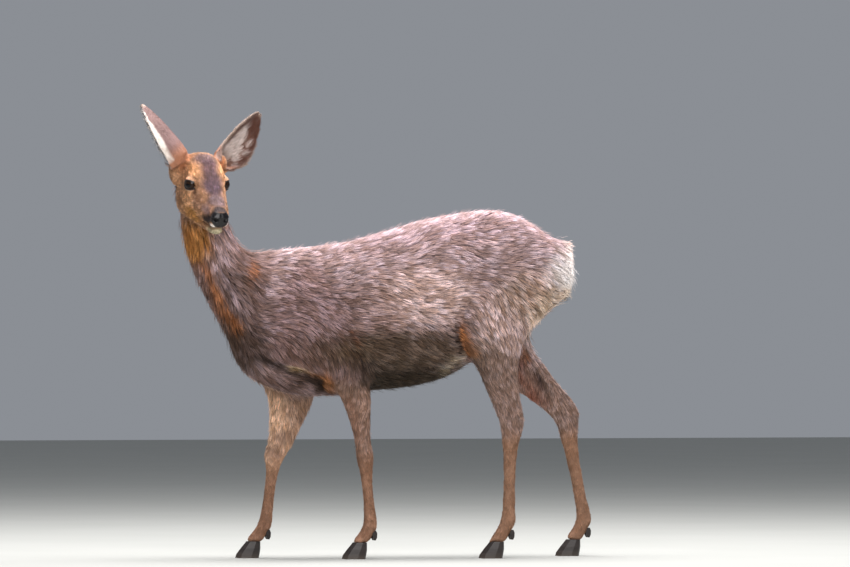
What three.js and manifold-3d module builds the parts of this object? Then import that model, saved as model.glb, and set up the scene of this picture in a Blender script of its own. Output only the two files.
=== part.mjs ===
// A life-size roe deer doe in her winter coat, standing still and looking back past her left shoulder.
// Millimetres, +Z up. Her trunk points along -X, her left side faces -Y, and her soles stand on Z = 0.
// Every outline runs out to the tips of the coat. The body is modelled whole and parted with thin cuts.
import * as THREE from "three";
import { mergeVertices } from "three/addons/utils/BufferGeometryUtils.js";
import Module from "manifold-3d";

const wasm = await Module();
wasm.setup();

// ---- Driving dimensions ----
const PARTING = 0.35; // gap left by every cut between two nodes
const CUTTER_MARGIN = 6; // how far a limb's cutter stands out round the limb
const FAR = 3000; // a box this large acts as a half-space

const EYE_RADIUS = 14.5;
const EYE_SPREAD = 35.5; // eyeball centre to the middle of the head
const EYE_TURN = 51; // degrees from the muzzle's direction to the eye's axis
// The opening over an eye is cut by a cone on the eye's axis, widened along the lids.
const EYE_OPENING = { outer: 15, inner: 10.5, depth: 20, middle: 17, widened: 1.5 };
const EAR_LENGTH = 150;
const EAR_HALF_WIDTH = 33;
const EAR_WALL = 3.2;
const EAR_ARCH = 7; // how far the ear's back is arched
const HEAD_AT = new THREE.Vector3(-440.7, -88, 802.3); // midway between the eyes
const HEAD_PITCH = 27; // degrees that the muzzle points below level
const HEAD_HEADING = 8.5; // degrees from -Y towards +X

const INNER_LIMIT = 26; // limbs are parted from the trunk this far from the middle
const CORONET_HEIGHT = 36; // top of the claws
const CLAW_HALF = 8;
const CLAW_APART = 9.5; // middle of a claw to the middle of the foot
const CLAW_SPLAY = 1.5; // how far a claw's sole stands further out than its top
const DEWCLAW_APART = 8.5;
const UPPER_ARM_CUT = 8; // below the elbow
const THIGH_CUT = 46; // below the stifle
const GASKIN_CUT = 26; // below the hock

// Joint places of the four legs: [x, y, z]. The left feet are set back, the right feet spread.
const LEGS = {
  foreleg_left: {
    elbow: [-108, -70, 398], carpus: [-92, -68, 226],
    fetlock: [-78, -66, 68], coronet: [-101, -66, CORONET_HEIGHT],
  },
  foreleg_right: {
    elbow: [-200, 70, 398], carpus: [-261, 66, 226],
    fetlock: [-284, 64, 68], coronet: [-308, 64, CORONET_HEIGHT],
  },
  hindleg_left: {
    hip: [245, -55, 625], stifle: [150, -60, 492],
    hock: [230, -66, 292], fetlock: [224, -67, 76], coronet: [199, -68, CORONET_HEIGHT],
  },
  hindleg_right: {
    hip: [245, 55, 625], stifle: [220, 62, 466],
    hock: [380, 70, 300], fetlock: [424, 70, 76], coronet: [399, 70, CORONET_HEIGHT],
  },
};

// ---- Solids from meshes ----
const toSolid = (geometry) => {
  const bare = geometry.clone();
  bare.deleteAttribute("normal");
  bare.deleteAttribute("uv");
  const merged = mergeVertices(bare, 1e-4);
  const vertProperties = merged.attributes.position.array;
  const triVerts = new Uint32Array(merged.index.array);
  return new wasm.Manifold(new wasm.Mesh({ numProp: 3, vertProperties, triVerts }));
};

const toGeometry = (solid) => {
  const mesh = solid.getMesh();
  const geometry = new THREE.BufferGeometry();
  geometry.setAttribute("position", new THREE.BufferAttribute(new Float32Array(mesh.vertProperties), 3));
  geometry.setIndex(new THREE.BufferAttribute(new Uint32Array(mesh.triVerts), 1));
  geometry.computeVertexNormals();
  return geometry;
};

// The half-space that `outward` points away from, with its face moved back from `point` by half a parting.
const halfSpace = (point, outward, back = PARTING / 2) => {
  const normal = new THREE.Vector3(...outward).normalize();
  const box = new THREE.BoxGeometry(FAR, FAR, FAR);
  const turn = new THREE.Quaternion().setFromUnitVectors(new THREE.Vector3(0, 0, 1), normal);
  box.applyQuaternion(turn);
  const middle = new THREE.Vector3(...point).addScaledVector(normal, -FAR / 2 - back);
  box.translate(middle.x, middle.y, middle.z);
  return toSolid(box);
};

const flipped = (outward) => outward.map((value) => -value);

// ---- Tubes ----
// A closed surface from rings of points: the side walls, then a fan over each end.
const skinRings = (rings) => {
  const sides = rings[0].length;
  const last = rings.length - 1;
  const positions = rings.flat().flatMap((p) => [p.x, p.y, p.z]);
  const triangles = [];
  for (let i = 0; i < last; i++) {
    for (let k = 0; k < sides; k++) {
      const a = i * sides + k;
      const b = i * sides + ((k + 1) % sides);
      triangles.push(a, b, b + sides, a, b + sides, a + sides);
    }
  }
  for (const end of [0, last]) {
    const middle = rings[end].reduce((sum, p) => sum.add(p), new THREE.Vector3()).divideScalar(sides);
    const hub = positions.length / 3;
    positions.push(middle.x, middle.y, middle.z);
    for (let k = 0; k < sides; k++) {
      const a = end * sides + k;
      const b = end * sides + ((k + 1) % sides);
      triangles.push(...(end === 0 ? [hub, b, a] : [hub, a, b]));
    }
  }
  return [positions, triangles];
};

const closedGeometry = (rings) => {
  const [positions, triangles] = skinRings(rings);
  let volume = 0;
  const corner = (i) => new THREE.Vector3().fromArray(positions, 3 * triangles[i]);
  for (let i = 0; i < triangles.length; i += 3) volume += corner(i).dot(corner(i + 1).cross(corner(i + 2)));
  if (volume < 0) triangles.reverse();
  const geometry = new THREE.BufferGeometry();
  geometry.setAttribute("position", new THREE.BufferAttribute(new Float32Array(positions), 3));
  geometry.setIndex(triangles);
  return geometry;
};

const power = (value, exponent) => Math.sign(value) * Math.abs(value) ** exponent;

// A section is drawn on the chord from `top` to `low`: `half` is its half-width across the chord, along
// `across`, `widest` is how far up the chord that width lies, and `square` is 1 for an ellipse and less for
// a fuller shape.
const tube = (sections, { rings, sides, across = new THREE.Vector3(0, 1, 0), grow = 0, square = 0.92 }) => {
  const through = (pick) => new THREE.CatmullRomCurve3(sections.map(pick), false, "catmullrom", 0.5);
  const tops = through((s) => new THREE.Vector3(...s.top));
  const lows = through((s) => new THREE.Vector3(...s.low));
  const shape = through((s) => new THREE.Vector3(s.half, s.widest ?? 0.5, 0));
  const made = [];
  for (let i = 0; i <= rings; i++) {
    const t = i / rings;
    const top = tops.getPoint(t);
    const low = lows.getPoint(t);
    const { x: half, y: widest } = shape.getPoint(t);
    const chord = top.clone().sub(low);
    const along = chord.clone().normalize();
    if (i === 0 || i === rings) {
      const outward = across.clone().cross(along).normalize();
      const inside = i === 0 ? 0.02 : 0.98;
      const next = tops.getPoint(inside).add(lows.getPoint(inside)).sub(top).sub(low);
      const shift = outward.multiplyScalar(-Math.sign(outward.dot(next)) * grow);
      top.add(shift);
      low.add(shift);
    }
    const length = chord.length() + 2 * grow;
    const seat = low.clone().addScaledVector(along, -grow + widest * length);
    const ring = [];
    for (let k = 0; k < sides; k++) {
      const angle = (2 * Math.PI * k) / sides;
      const rise = Math.sin(angle) > 0 ? (1 - widest) * length : widest * length;
      ring.push(
        seat.clone()
          .addScaledVector(along, rise * power(Math.sin(angle), square))
          .addScaledVector(across, (half + grow) * power(Math.cos(angle), square)),
      );
    }
    made.push(ring);
  }
  return closedGeometry(made);
};

// ---- Neck and trunk ----
// From behind the skull, down the neck and along the back to the rump. Each section: point on the back, point
// on the throat or belly, half-width, share of the depth at which it is widest, and how far its middle leans
// to the left.
const BODY = [
  { back: [-408, 842], front: [-487, 818], half: 34, widest: 0.5, lean: 18 },
  { back: [-391, 804], front: [-493, 786], half: 43, widest: 0.5, lean: 15 },
  { back: [-379, 758], front: [-489, 746], half: 46, widest: 0.5, lean: 12 },
  { back: [-373, 716], front: [-478, 704], half: 46, widest: 0.5, lean: 8 },
  { back: [-362, 685], front: [-470, 668], half: 49, widest: 0.5, lean: 5 },
  { back: [-348, 668], front: [-455, 624], half: 53, widest: 0.5, lean: 2 },
  { back: [-334, 661], front: [-428, 566], half: 60, widest: 0.5, lean: 0 },
  { back: [-318, 659], front: [-395, 506], half: 69, widest: 0.48, lean: 0 },
  { back: [-298, 660], front: [-367, 452], half: 79, widest: 0.46, lean: 0 },
  { back: [-268, 663], front: [-353, 407], half: 87, widest: 0.46, lean: 0 },
  { back: [-232, 667], front: [-312, 378], half: 93, widest: 0.46, lean: 0 },
  { back: [-192, 671], front: [-255, 353], half: 97, widest: 0.46, lean: 0 },
  { back: [-146, 677], front: [-192, 345], half: 100, widest: 0.46, lean: 0 },
  { back: [-98, 685], front: [-122, 350], half: 104, widest: 0.45, lean: 0 },
  { back: [-48, 700], front: [-50, 361], half: 110, widest: 0.44, lean: 0 },
  { back: [2, 714], front: [8, 365], half: 115, widest: 0.44, lean: 0 },
  { back: [52, 729], front: [62, 376], half: 116, widest: 0.45, lean: 0 },
  { back: [102, 738], front: [112, 393], half: 111, widest: 0.47, lean: 0 },
  { back: [152, 746], front: [163, 424], half: 102, widest: 0.5, lean: 0 },
  { back: [204, 749], front: [212, 460], half: 96, widest: 0.52, lean: 0 },
  { back: [254, 739], front: [262, 474], half: 92, widest: 0.54, lean: 0 },
  { back: [302, 710], front: [300, 500], half: 85, widest: 0.55, lean: 0 },
  { back: [340, 686], front: [326, 527], half: 70, widest: 0.55, lean: 0 },
  { back: [364, 672], front: [353, 556], half: 48, widest: 0.54, lean: 0 },
  { back: [374, 650], front: [369, 582], half: 26, widest: 0.5, lean: 0 },
];

const bodyTube = (grow = 0) =>
  tube(
    BODY.map(({ back, front, half, widest, lean }) => ({
      top: [back[0], -lean, back[1]], low: [front[0], -lean, front[1]], half, widest,
    })),
    { rings: 31, sides: 20, grow },
  );

// ---- Limbs ----
// A limb is a tube of level sections hung on its joints. Each row of a profile: the bone that it lies on, the
// share of that bone's length, how far the coat stands before and behind the bone, and half the thickness.
const FORE_PROFILE = [
  ["elbow", -0.4, 118, 22, 22], ["elbow", -0.2, 105, 28, 33], ["elbow", 0.0, 84, 30, 34],
  ["elbow", 0.09, 66, 29, 32], ["elbow", 0.18, 53, 28, 29.5], ["elbow", 0.3, 42, 26, 26],
  ["elbow", 0.48, 32, 22.5, 21.5],
  ["elbow", 0.68, 23, 18, 18], ["elbow", 0.87, 18.5, 17, 17], ["elbow", 1.0, 19.5, 20, 18.5],
  ["carpus", 0.1, 18, 18.5, 17], ["carpus", 0.24, 13.5, 14, 13.5], ["carpus", 0.5, 11.5, 12, 12],
  ["carpus", 0.8, 12, 13, 12.5], ["carpus", 0.97, 15, 17, 15.5],
  ["fetlock", 0.4, 14, 13.5, 14], ["fetlock", 1.0, 15.5, 14, 16.5],
];
const HIND_PROFILE = [
  ["hip", -0.05, 70, 60, 26], ["hip", 0.12, 78, 76, 38], ["hip", 0.36, 72, 92, 46],
  ["hip", 0.68, 50, 108, 47], ["hip", 0.92, 33, 108, 45], ["stifle", 0.1, 32, 99, 40],
  ["stifle", 0.25, 31, 77, 34], ["stifle", 0.42, 27.5, 58, 28], ["stifle", 0.6, 25.5, 46, 23.5],
  ["stifle", 0.78, 25, 37, 20], ["stifle", 0.93, 25, 34, 19], ["hock", 0.0, 25, 32, 19],
  ["hock", 0.1, 21.5, 25, 18], ["hock", 0.2, 18, 18.5, 15.5], ["hock", 0.38, 14.5, 14, 13],
  ["hock", 0.62, 13, 13, 12.5], ["hock", 0.86, 13.5, 14, 13], ["hock", 0.98, 16.5, 18, 16],
  ["fetlock", 0.42, 14.5, 14, 14.5], ["fetlock", 1.0, 16, 14.5, 17],
];
// How much fuller or slimmer than its profile a leg is before and behind the bone, row by row from the top.
// The foreleg that reaches forward shows its broad inner side; the outstretched hind leg is drawn in behind.
const FULLNESS = {
  foreleg_right: {
    before: [1, 1, 1.1, 1.18, 1.25, 1.27, 1.27, 1.28, 1.28, 1.2, 1.12],
    behind: [1, 1, 1.3, 1.42, 1.52, 1.62, 1.78, 1.92, 1.8, 1.35, 1.1],
  },
  hindleg_right: {
    before: [1, 1, 1, 1, 1, 1.2, 1.4, 1.8, 1.7, 1.07],
    behind: [0.85, 0.85, 0.85, 0.78, 0.64, 0.52, 0.65, 0.72, 0.88, 1.08],
  },
};

const limbSections = (name, profile) => {
  const joints = LEGS[name];
  const names = Object.keys(joints);
  const { before: fore = [], behind: aft = [] } = FULLNESS[name] ?? {};
  return profile.map(([from, share, before, behind, half], row) => {
    const start = new THREE.Vector3(...joints[from]);
    const end = new THREE.Vector3(...joints[names[names.indexOf(from) + 1]]);
    const at = start.clone().lerp(end, share);
    const slant = start.distanceTo(end) / Math.abs(start.z - end.z); // a slanting bone's level cut is longer
    const front = at.x - before * slant * (fore[row] ?? 1);
    const back = at.x + behind * slant * (aft[row] ?? 1);
    return { top: [front, at.y, at.z], low: [back, at.y, at.z], half };
  });
};

// The shoulder blade and upper arm. Each row: height, front edge, back edge, half thickness and how far the
// outer face stands from the middle of the body, for the left leg.
const SHOULDER_PROFILE = [
  [636, -246, -222, 16, 60], [600, -280, -180, 28, 85], [550, -308, -130, 36, 98], [500, -322, -98, 39, 103],
  [458, -318, -84, 40, 104], [430, -290, -80, 37, 103], [406, -226, -84, 26, 99],
];
const CHEST_FRONT = -342;
const shoulderTube = (elbow, grow = 0) => {
  const side = Math.sign(elbow[1]);
  const stride = elbow[0] - LEGS.foreleg_left.elbow[0]; // a leg set forward takes the shoulder along
  const sections = SHOULDER_PROFILE.map(([height, front, back, half, reach]) => {
    const lag = THREE.MathUtils.smoothstep(600 - height, 0, 196) * stride;
    const y = side * (reach - half);
    return { top: [Math.max(front + lag, CHEST_FRONT), y, height], low: [back + lag, y, height], half };
  });
  return tube(sections, { rings: grow ? 6 : 9, sides: grow ? 8 : 14, grow, square: grow ? 0.7 : 0.92 });
};

// A plain limb is the cutter that parts it from the body, with fewer and fuller sides.
const limbTube = (name, grow = 0, plain = false) => {
  const fore = name.startsWith("fore");
  const sections = limbSections(name, fore ? FORE_PROFILE : HIND_PROFILE);
  return tube(sections, { rings: fore ? 18 : 20, sides: plain ? 8 : 12, square: plain ? 0.7 : 0.92, grow });
};

// ---- Head ----
// In its own frame: +X to the nose, +Y to her left, +Z up, from the point midway between the eyes.
const SKULL = [
  { top: [-90, 20], low: [-84, -46], half: 33, widest: 0.6 },
  { top: [-74, 39], low: [-68, -62], half: 41, widest: 0.58 },
  { top: [-50, 50], low: [-46, -70], half: 43, widest: 0.56 },
  { top: [-24, 52], low: [-22, -72], half: 43, widest: 0.55 },
  { top: [-2, 47.5], low: [0, -71], half: 43.5, widest: 0.52 },
  { top: [17, 37], low: [20, -68], half: 41.5, widest: 0.47 },
  { top: [36, 25.5], low: [40, -65], half: 36, widest: 0.44 },
  { top: [56, 14.5], low: [60, -61.5], half: 30.5, widest: 0.43 },
  { top: [76, 4.5], low: [79, -58], half: 25.5, widest: 0.44 },
  { top: [94, -3], low: [95, -54.5], half: 22, widest: 0.45 },
  { top: [107, -8], low: [107, -51], half: 20.5, widest: 0.47 },
  { top: [116, -13], low: [115, -47], half: 18.5, widest: 0.52 },
  { top: [121.5, -20], low: [120, -41], half: 13.5, widest: 0.52 },
];
const JAW = [
  { top: [-58, -24], low: [-60, -78], half: 36 },
  { top: [-34, -24], low: [-37, -89], half: 48 },
  { top: [-8, -28], low: [-9, -91], half: 42 },
  { top: [20, -36], low: [20, -86], half: 34 },
  { top: [50, -44], low: [50, -79.5], half: 26 },
  { top: [76, -49], low: [77, -74], half: 19.5 },
  { top: [95, -51], low: [95.5, -70.5], half: 16 },
  { top: [105, -52], low: [104.5, -66.5], half: 13 },
  { top: [110, -55], low: [109, -61], half: 7 },
];
const headSections = (rows) =>
  rows.map((s) => ({ ...s, top: [s.top[0], 0, s.top[1]], low: [s.low[0], 0, s.low[1]] }));

const headFrame = new THREE.Matrix4()
  .makeTranslation(HEAD_AT.x, HEAD_AT.y, HEAD_AT.z)
  .multiply(new THREE.Matrix4().makeRotationZ(THREE.MathUtils.degToRad(HEAD_HEADING - 90)))
  .multiply(new THREE.Matrix4().makeRotationY(THREE.MathUtils.degToRad(HEAD_PITCH)));
const onHead = (x, y, z) => new THREE.Vector3(x, y, z).applyMatrix4(headFrame);

// Each ear's root on the head, its axis and the way that its hollow faces, in the body's frame, how far its
// blade curves outwards, and how much its outer half and the foot of its inner half are broadened.
const EARS = {
  ear_left: {
    base: [-54, 46.5, 20], direction: [0.611, 0.271, 0.744], opening: [0.263, -0.925, -0.3],
    lean: -9, outer: 1.47, foot: 1,
  },
  ear_right: {
    base: [-50, -50.5, 20], direction: [-0.501, 0.107, 0.859], opening: [-0.66, 0.58, -0.45],
    lean: -2, outer: 1.3, foot: 1.3,
  },
};

const eyeCentre = (side) => [5, side * EYE_SPREAD, 2.5];
const eyeOpening = (side) => {
  const { outer, inner, depth, middle, widened } = EYE_OPENING;
  const cone = new THREE.CylinderGeometry(outer, inner, depth, 12).scale(widened, 1, 1);
  cone.translate(0, middle, 0);
  cone.rotateZ(-Math.PI / 2).rotateZ(side * THREE.MathUtils.degToRad(EYE_TURN));
  return toSolid(cone.translate(...eyeCentre(side))).transform(headFrame.toArray());
};
const ball = (radius, centre) => toSolid(new THREE.SphereGeometry(radius, 12, 10).translate(...centre));

// The swellings over the left eye, of the left cheek and under the left ear: half-sizes, turns about X, Y and
// Z in radians, and middle. The one under the ear is placed from the ear's root.
const BROW = { half: [25, 17, 20], turn: [0, 0, -0.15], at: [-2, 30, 4] };
const CHEEK = { half: [56, 22, 36], turn: [0, 0.12, -0.14], at: [0, 22, -38] };
const EAR_ROOT = { half: [22, 19, 38], turn: [-0.2, 0, 0], at: [-8, -3, -18] };
const swelling = ({ half, turn, at }, side, grow, from = [0, 0, 0]) => {
  const shape = new THREE.SphereGeometry(1, 10, 7).scale(...half.map((value) => value + grow));
  shape.rotateX(side * turn[0]).rotateZ(side * turn[2]).rotateY(turn[1]);
  return toSolid(shape.translate(from[0] + at[0], from[1] + side * at[1], from[2] + at[2]));
};

const headSolid = (grow = 0) => {
  let solid = toSolid(tube(headSections(SKULL), { rings: 17, sides: 18, square: 0.82, grow }));
  solid = solid.add(toSolid(tube(headSections(JAW), { rings: 10, sides: 12, square: 0.82, grow })));
  for (const [side, ear] of [[1, "ear_left"], [-1, "ear_right"]]) {
    solid = solid.add(swelling(BROW, side, grow));
    solid = solid.add(swelling(CHEEK, side, grow));
    solid = solid.add(swelling(EAR_ROOT, side, grow, EARS[ear].base));
  }
  return solid.transform(headFrame.toArray());
};

// ---- Ears ----
// A leaf rolled round its axis: nearly a closed cone at the root, opening to a shallow scoop, a blunt tip.
// Share of the ear's length, with the share of its half-width and half of the wall's arc in degrees.
const EAR_WIDTH = [
  [0, 0.66], [0.1, 0.84], [0.22, 0.98], [0.34, 1], [0.5, 0.95],
  [0.64, 0.81], [0.78, 0.63], [0.9, 0.43], [1, 0.17],
];
const EAR_ROLL = [[0, 140], [0.1, 104], [0.22, 74], [0.5, 54], [0.8, 42], [1, 35]];
const between = (table, x) => {
  const i = Math.max(1, table.findIndex(([at]) => at >= x));
  const [x0, y0] = table[i - 1];
  const [x1, y1] = table[i];
  return THREE.MathUtils.mapLinear(x, x0, x1, y0, y1);
};
const EAR_RINGS = 9;
const EAR_STEPS = 7;
const earGeometry = ({ direction, opening, lean, outer, foot }) => {
  const rings = [];
  for (let i = 0; i <= EAR_RINGS; i++) {
    const u = Math.min(i / EAR_RINGS, 0.999);
    const half = EAR_HALF_WIDTH * between(EAR_WIDTH, u);
    const roll = THREE.MathUtils.degToRad(between(EAR_ROLL, u));
    const radius = half / Math.sin(Math.min(roll, Math.PI / 2));
    const wall = Math.min(EAR_WALL, 0.7 * half);
    const bow = EAR_ARCH * Math.sin(Math.PI * u);
    const shift = lean * Math.sin(Math.PI * u ** 0.85); // the blade curves towards its outer edge
    const depth = (r, angle) => -r * Math.cos(angle) + radius * Math.cos(Math.min(roll, Math.PI / 2)) - bow;
    const broad = 1 + (outer - 1) * THREE.MathUtils.smoothstep(u, 0.05, 0.35);
    const flare = 1 + (foot - 1) * (1 - THREE.MathUtils.smoothstep(u, 0.1, 0.5));
    const ring = [];
    for (const [r, turn] of [[radius, 1], [radius - wall, -1]]) {
      for (let k = 0; k <= EAR_STEPS; k++) {
        const angle = turn * roll * (1 - (2 * k) / EAR_STEPS);
        const aside = r * Math.sin(angle) * (angle < 0 ? broad : flare);
        ring.push(new THREE.Vector3(aside + shift, depth(r, angle), u * EAR_LENGTH));
      }
    }
    rings.push(ring);
  }
  const geometry = closedGeometry(rings);
  const z = new THREE.Vector3(...direction).normalize();
  const y = new THREE.Vector3(...opening).projectOnPlane(z).normalize();
  return geometry.applyMatrix4(new THREE.Matrix4().makeBasis(new THREE.Vector3().crossVectors(y, z), y, z));
};

// ---- Feet ----
// A claw in level sections from the sole up: height, toe and heel from the coronet's middle, half-width.
const CLAW_PROFILE = [
  [0, 38, 9, CLAW_HALF], [8, 36, 11, CLAW_HALF], [20, 27, 13, CLAW_HALF],
  [CORONET_HEIGHT - PARTING, 14, 13, CLAW_HALF - 0.5],
];
const clawGeometry = (coronet, side) => {
  const y = coronet[1] + side * CLAW_APART;
  const splay = (height) => side * CLAW_SPLAY * (1 - height / CORONET_HEIGHT);
  return tube(
    CLAW_PROFILE.map(([z, toe, heel, half]) => ({
      top: [coronet[0] - toe, y + splay(z), z], low: [coronet[0] + heel, y + splay(z), z], half, widest: 0.38,
    })).reverse(),
    { rings: 3, sides: 8, square: 0.8 },
  );
};
// A dewclaw in level sections from the top down: height, reach before and behind its middle, half-width.
const DEWCLAW_PROFILE = [[61, 3, 2.4, 3], [55, 6.5, 5.2, 5], [46, 6, 4.8, 4.5], [40, 2.5, 2, 2.2]];
const DEWCLAW_BEHIND = 17; // from the pastern's bone
const dewclawGeometry = (fetlock, coronet, side) => {
  const x = THREE.MathUtils.lerp(fetlock[0], coronet[0], 0.4) + DEWCLAW_BEHIND;
  const y = fetlock[1] + side * DEWCLAW_APART;
  const sections = DEWCLAW_PROFILE.map(([z, before, behind, half]) => (
    { top: [x - before, y, z], low: [x + behind, y, z], half }
  ));
  return tube(sections, { rings: 3, sides: 6 });
};

// ---- Assembly ----
const coat = (color) => new THREE.MeshStandardMaterial({ color, roughness: 0.9, metalness: 0 });
const GREY_BROWN = coat(0x9a7c70);
const HEAD_BROWN = coat(0xa07c62);
const LEG_BROWN = coat(0x8a6a55);
const EAR_BROWN = coat(0x83706a);
const CREAM = coat(0xf0e8dc);
const HORN = new THREE.MeshStandardMaterial({ color: 0x1d1a18, roughness: 0.45, metalness: 0 });
const EYE = new THREE.MeshStandardMaterial({ color: 0x0c0908, roughness: 0.08, metalness: 0 });

const part = new THREE.Group();
const addMesh = (name, geometry, material) => {
  const mesh = new THREE.Mesh(geometry, material);
  mesh.name = name;
  part.add(mesh);
};
const addSolid = (name, solid, material) => addMesh(name, toGeometry(solid), material);

// The whole animal but for her ears, eyes and claws.
const limbs = {};
let whole = toSolid(bodyTube());
for (const [name, joints] of Object.entries(LEGS)) {
  limbs[name] = toSolid(limbTube(name));
  if (joints.elbow) limbs[name] = limbs[name].add(toSolid(shoulderTube(joints.elbow)));
  whole = whole.add(limbs[name]);
}
// The short tail from its root back: place, height and half its depth.
const TAIL = [[330, 668, 16], [350, 668, 15], [368, 667, 12], [381, 663, 6]];
const tailSections = TAIL.map(([x, z, half]) => (
  { top: [x, 0, z + half], low: [x, 0, z - half], half: half + 2 }
));
whole = whole.add(toSolid(tube(tailSections, { rings: 8, sides: 12 })));

// Limbs come off along a surface that stands a little out from each of them.
let torso = whole;
for (const [name, joints] of Object.entries(LEGS)) {
  const side = Math.sign(Object.values(joints)[0][1]);
  const cutter = (extra) => {
    let solid = toSolid(limbTube(name, CUTTER_MARGIN + extra, true));
    if (joints.elbow) solid = solid.add(toSolid(shoulderTube(joints.elbow, CUTTER_MARGIN + extra)));
    return solid.intersect(halfSpace([0, side * (INNER_LIMIT - extra), 0], [0, -side, 0], 0));
  };
  const limb = whole.intersect(cutter(0));
  torso = torso.subtract(cutter(PARTING));
  const [upper, middle] = joints.elbow ? ["upper_arm", "forearm"] : ["thigh", "gaskin"];
  const first = joints.elbow ? joints.elbow[2] - UPPER_ARM_CUT : joints.stifle[2] - THIGH_CUT;
  const second = joints.elbow ? joints.carpus[2] : joints.hock[2] - GASKIN_CUT;
  const above = (height) => halfSpace([0, 0, height], [0, 0, -1]);
  const below = (height) => halfSpace([0, 0, height], [0, 0, 1]);
  addSolid(`${name}_${upper}`, limb.intersect(above(first)), LEG_BROWN);
  addSolid(`${name}_${middle}`, limb.intersect(below(first)).intersect(above(second)), LEG_BROWN);
  addSolid(`${name}_cannon`, limb.intersect(below(second)), LEG_BROWN);
  for (const [place, clawSide] of [["outer", side], ["inner", -side]]) {
    addMesh(`${name}_claw_${place}`, clawGeometry(joints.coronet, clawSide), HORN);
    const dewclaw = toSolid(dewclawGeometry(joints.fetlock, joints.coronet, clawSide));
    addSolid(`${name}_dewclaw_${place}`, dewclaw.subtract(toSolid(limbTube(name, 2 * PARTING))), HORN);
  }
}

// The tail, neck and head are parted with plane cuts.
const TAIL_CUT = [[352, 0, 668], [-1, 0, 0.1]];
const NECK_CUT = [[-335, 0, 558], [0.944, 0, -0.33]];
const block = (size, centre, grow) =>
  toSolid(new THREE.BoxGeometry(...size.map((value) => value + grow)).translate(...centre));
const headBlock = (grow) => block([260, 200, 190], [54, 0, 7], grow).transform(headFrame.toArray());
const tailBlock = (grow) => block([80, 40, 44], [386, 0, 672], grow);

addSolid("tail", torso.intersect(tailBlock(0)).intersect(halfSpace(...TAIL_CUT)), CREAM);
torso = torso.subtract(tailBlock(2 * PARTING).intersect(halfSpace(TAIL_CUT[0], TAIL_CUT[1], -PARTING / 2)));
addSolid("trunk", torso.intersect(halfSpace(NECK_CUT[0], flipped(NECK_CUT[1]))), GREY_BROWN);
const headAndNeck = torso.intersect(halfSpace(...NECK_CUT)).add(headSolid());
addSolid("neck", headAndNeck.subtract(headBlock(2 * PARTING)), GREY_BROWN);

let face = headAndNeck.intersect(headBlock(0));
for (const [name, shape] of Object.entries(EARS)) {
  const root = onHead(...shape.base);
  const ear = toSolid(earGeometry(shape).translate(root.x, root.y, root.z));
  const free = ear.subtract(headSolid(3 * PARTING)).subtract(toSolid(bodyTube(3 * PARTING))).subtract(face);
  const largest = free.decompose().sort((a, b) => b.volume() - a.volume())[0];
  addSolid(name, largest, EAR_BROWN);
}
for (const [name, side] of [["eye_left", 1], ["eye_right", -1]]) {
  face = face.subtract(ball(EYE_RADIUS + PARTING, eyeCentre(side)).transform(headFrame.toArray()));
  face = face.subtract(eyeOpening(side));
  addSolid(name, ball(EYE_RADIUS, eyeCentre(side)).transform(headFrame.toArray()), EYE);
}
addSolid("head", face, HEAD_BROWN);

// The origin is the middle of her footprint's box, on the ground.
const box = new THREE.Box3().setFromObject(part);
const middle = box.getCenter(new THREE.Vector3());
part.position.set(-middle.x, -middle.y, 0);
part.updateMatrixWorld(true);

export default part;
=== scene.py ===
# %% [markdown]
# # A roe deer, standing still and looking round
# The deer was first built as solids that reach out to the tips of its coat. This lesson gives those
# solids their looks: one skin without seams, eyes, hooves, and a coat of fine tufts. Everything is in
# metres, in the same frame as the solids: Z is up, her head is towards -X and her left side faces -Y.

import math

import bmesh
import bpy
import numpy as np
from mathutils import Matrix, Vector
from mathutils.bvhtree import BVHTree


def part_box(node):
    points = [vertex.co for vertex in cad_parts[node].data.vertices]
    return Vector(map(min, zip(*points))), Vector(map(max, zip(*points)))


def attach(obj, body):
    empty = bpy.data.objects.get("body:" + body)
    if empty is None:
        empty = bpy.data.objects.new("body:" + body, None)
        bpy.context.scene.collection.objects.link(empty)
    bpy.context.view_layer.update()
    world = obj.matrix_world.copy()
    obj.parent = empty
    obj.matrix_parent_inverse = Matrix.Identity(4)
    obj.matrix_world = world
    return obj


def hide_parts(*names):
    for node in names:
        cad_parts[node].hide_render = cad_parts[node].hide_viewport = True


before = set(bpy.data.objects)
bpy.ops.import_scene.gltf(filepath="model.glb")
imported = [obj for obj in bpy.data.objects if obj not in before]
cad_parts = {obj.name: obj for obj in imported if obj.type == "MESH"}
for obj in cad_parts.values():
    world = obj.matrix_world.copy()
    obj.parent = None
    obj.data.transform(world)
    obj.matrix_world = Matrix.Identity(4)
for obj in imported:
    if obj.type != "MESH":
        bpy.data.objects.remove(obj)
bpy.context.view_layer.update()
MM = 0.001
EYES = ("eye_left", "eye_right")
HORN = tuple(sorted(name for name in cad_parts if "claw" in name))
FLESH = tuple(sorted(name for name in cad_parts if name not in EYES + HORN))
print(len(FLESH), "nodes of flesh,", len(HORN), "claws and dewclaws,", len(EYES), "eyes")

# %% [markdown]
# ## The head's own frame
# Everything on the face is measured from a point between the eyes, along the nose, to her left and up.
# The line through both eyes gives the sideways direction and the pitch of the nose gives the other two,
# so the face stays in place whichever way the head is turned.

# %% The head's frame
NOSE_DOWN = math.radians(27)
EYE_PLACE = np.array((5.0, 35.5, 2.5))
EYE_RADIUS = 14.5


def centre_of(node):
    low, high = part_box(node)
    return (np.array(low) + np.array(high)) / 2


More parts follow.
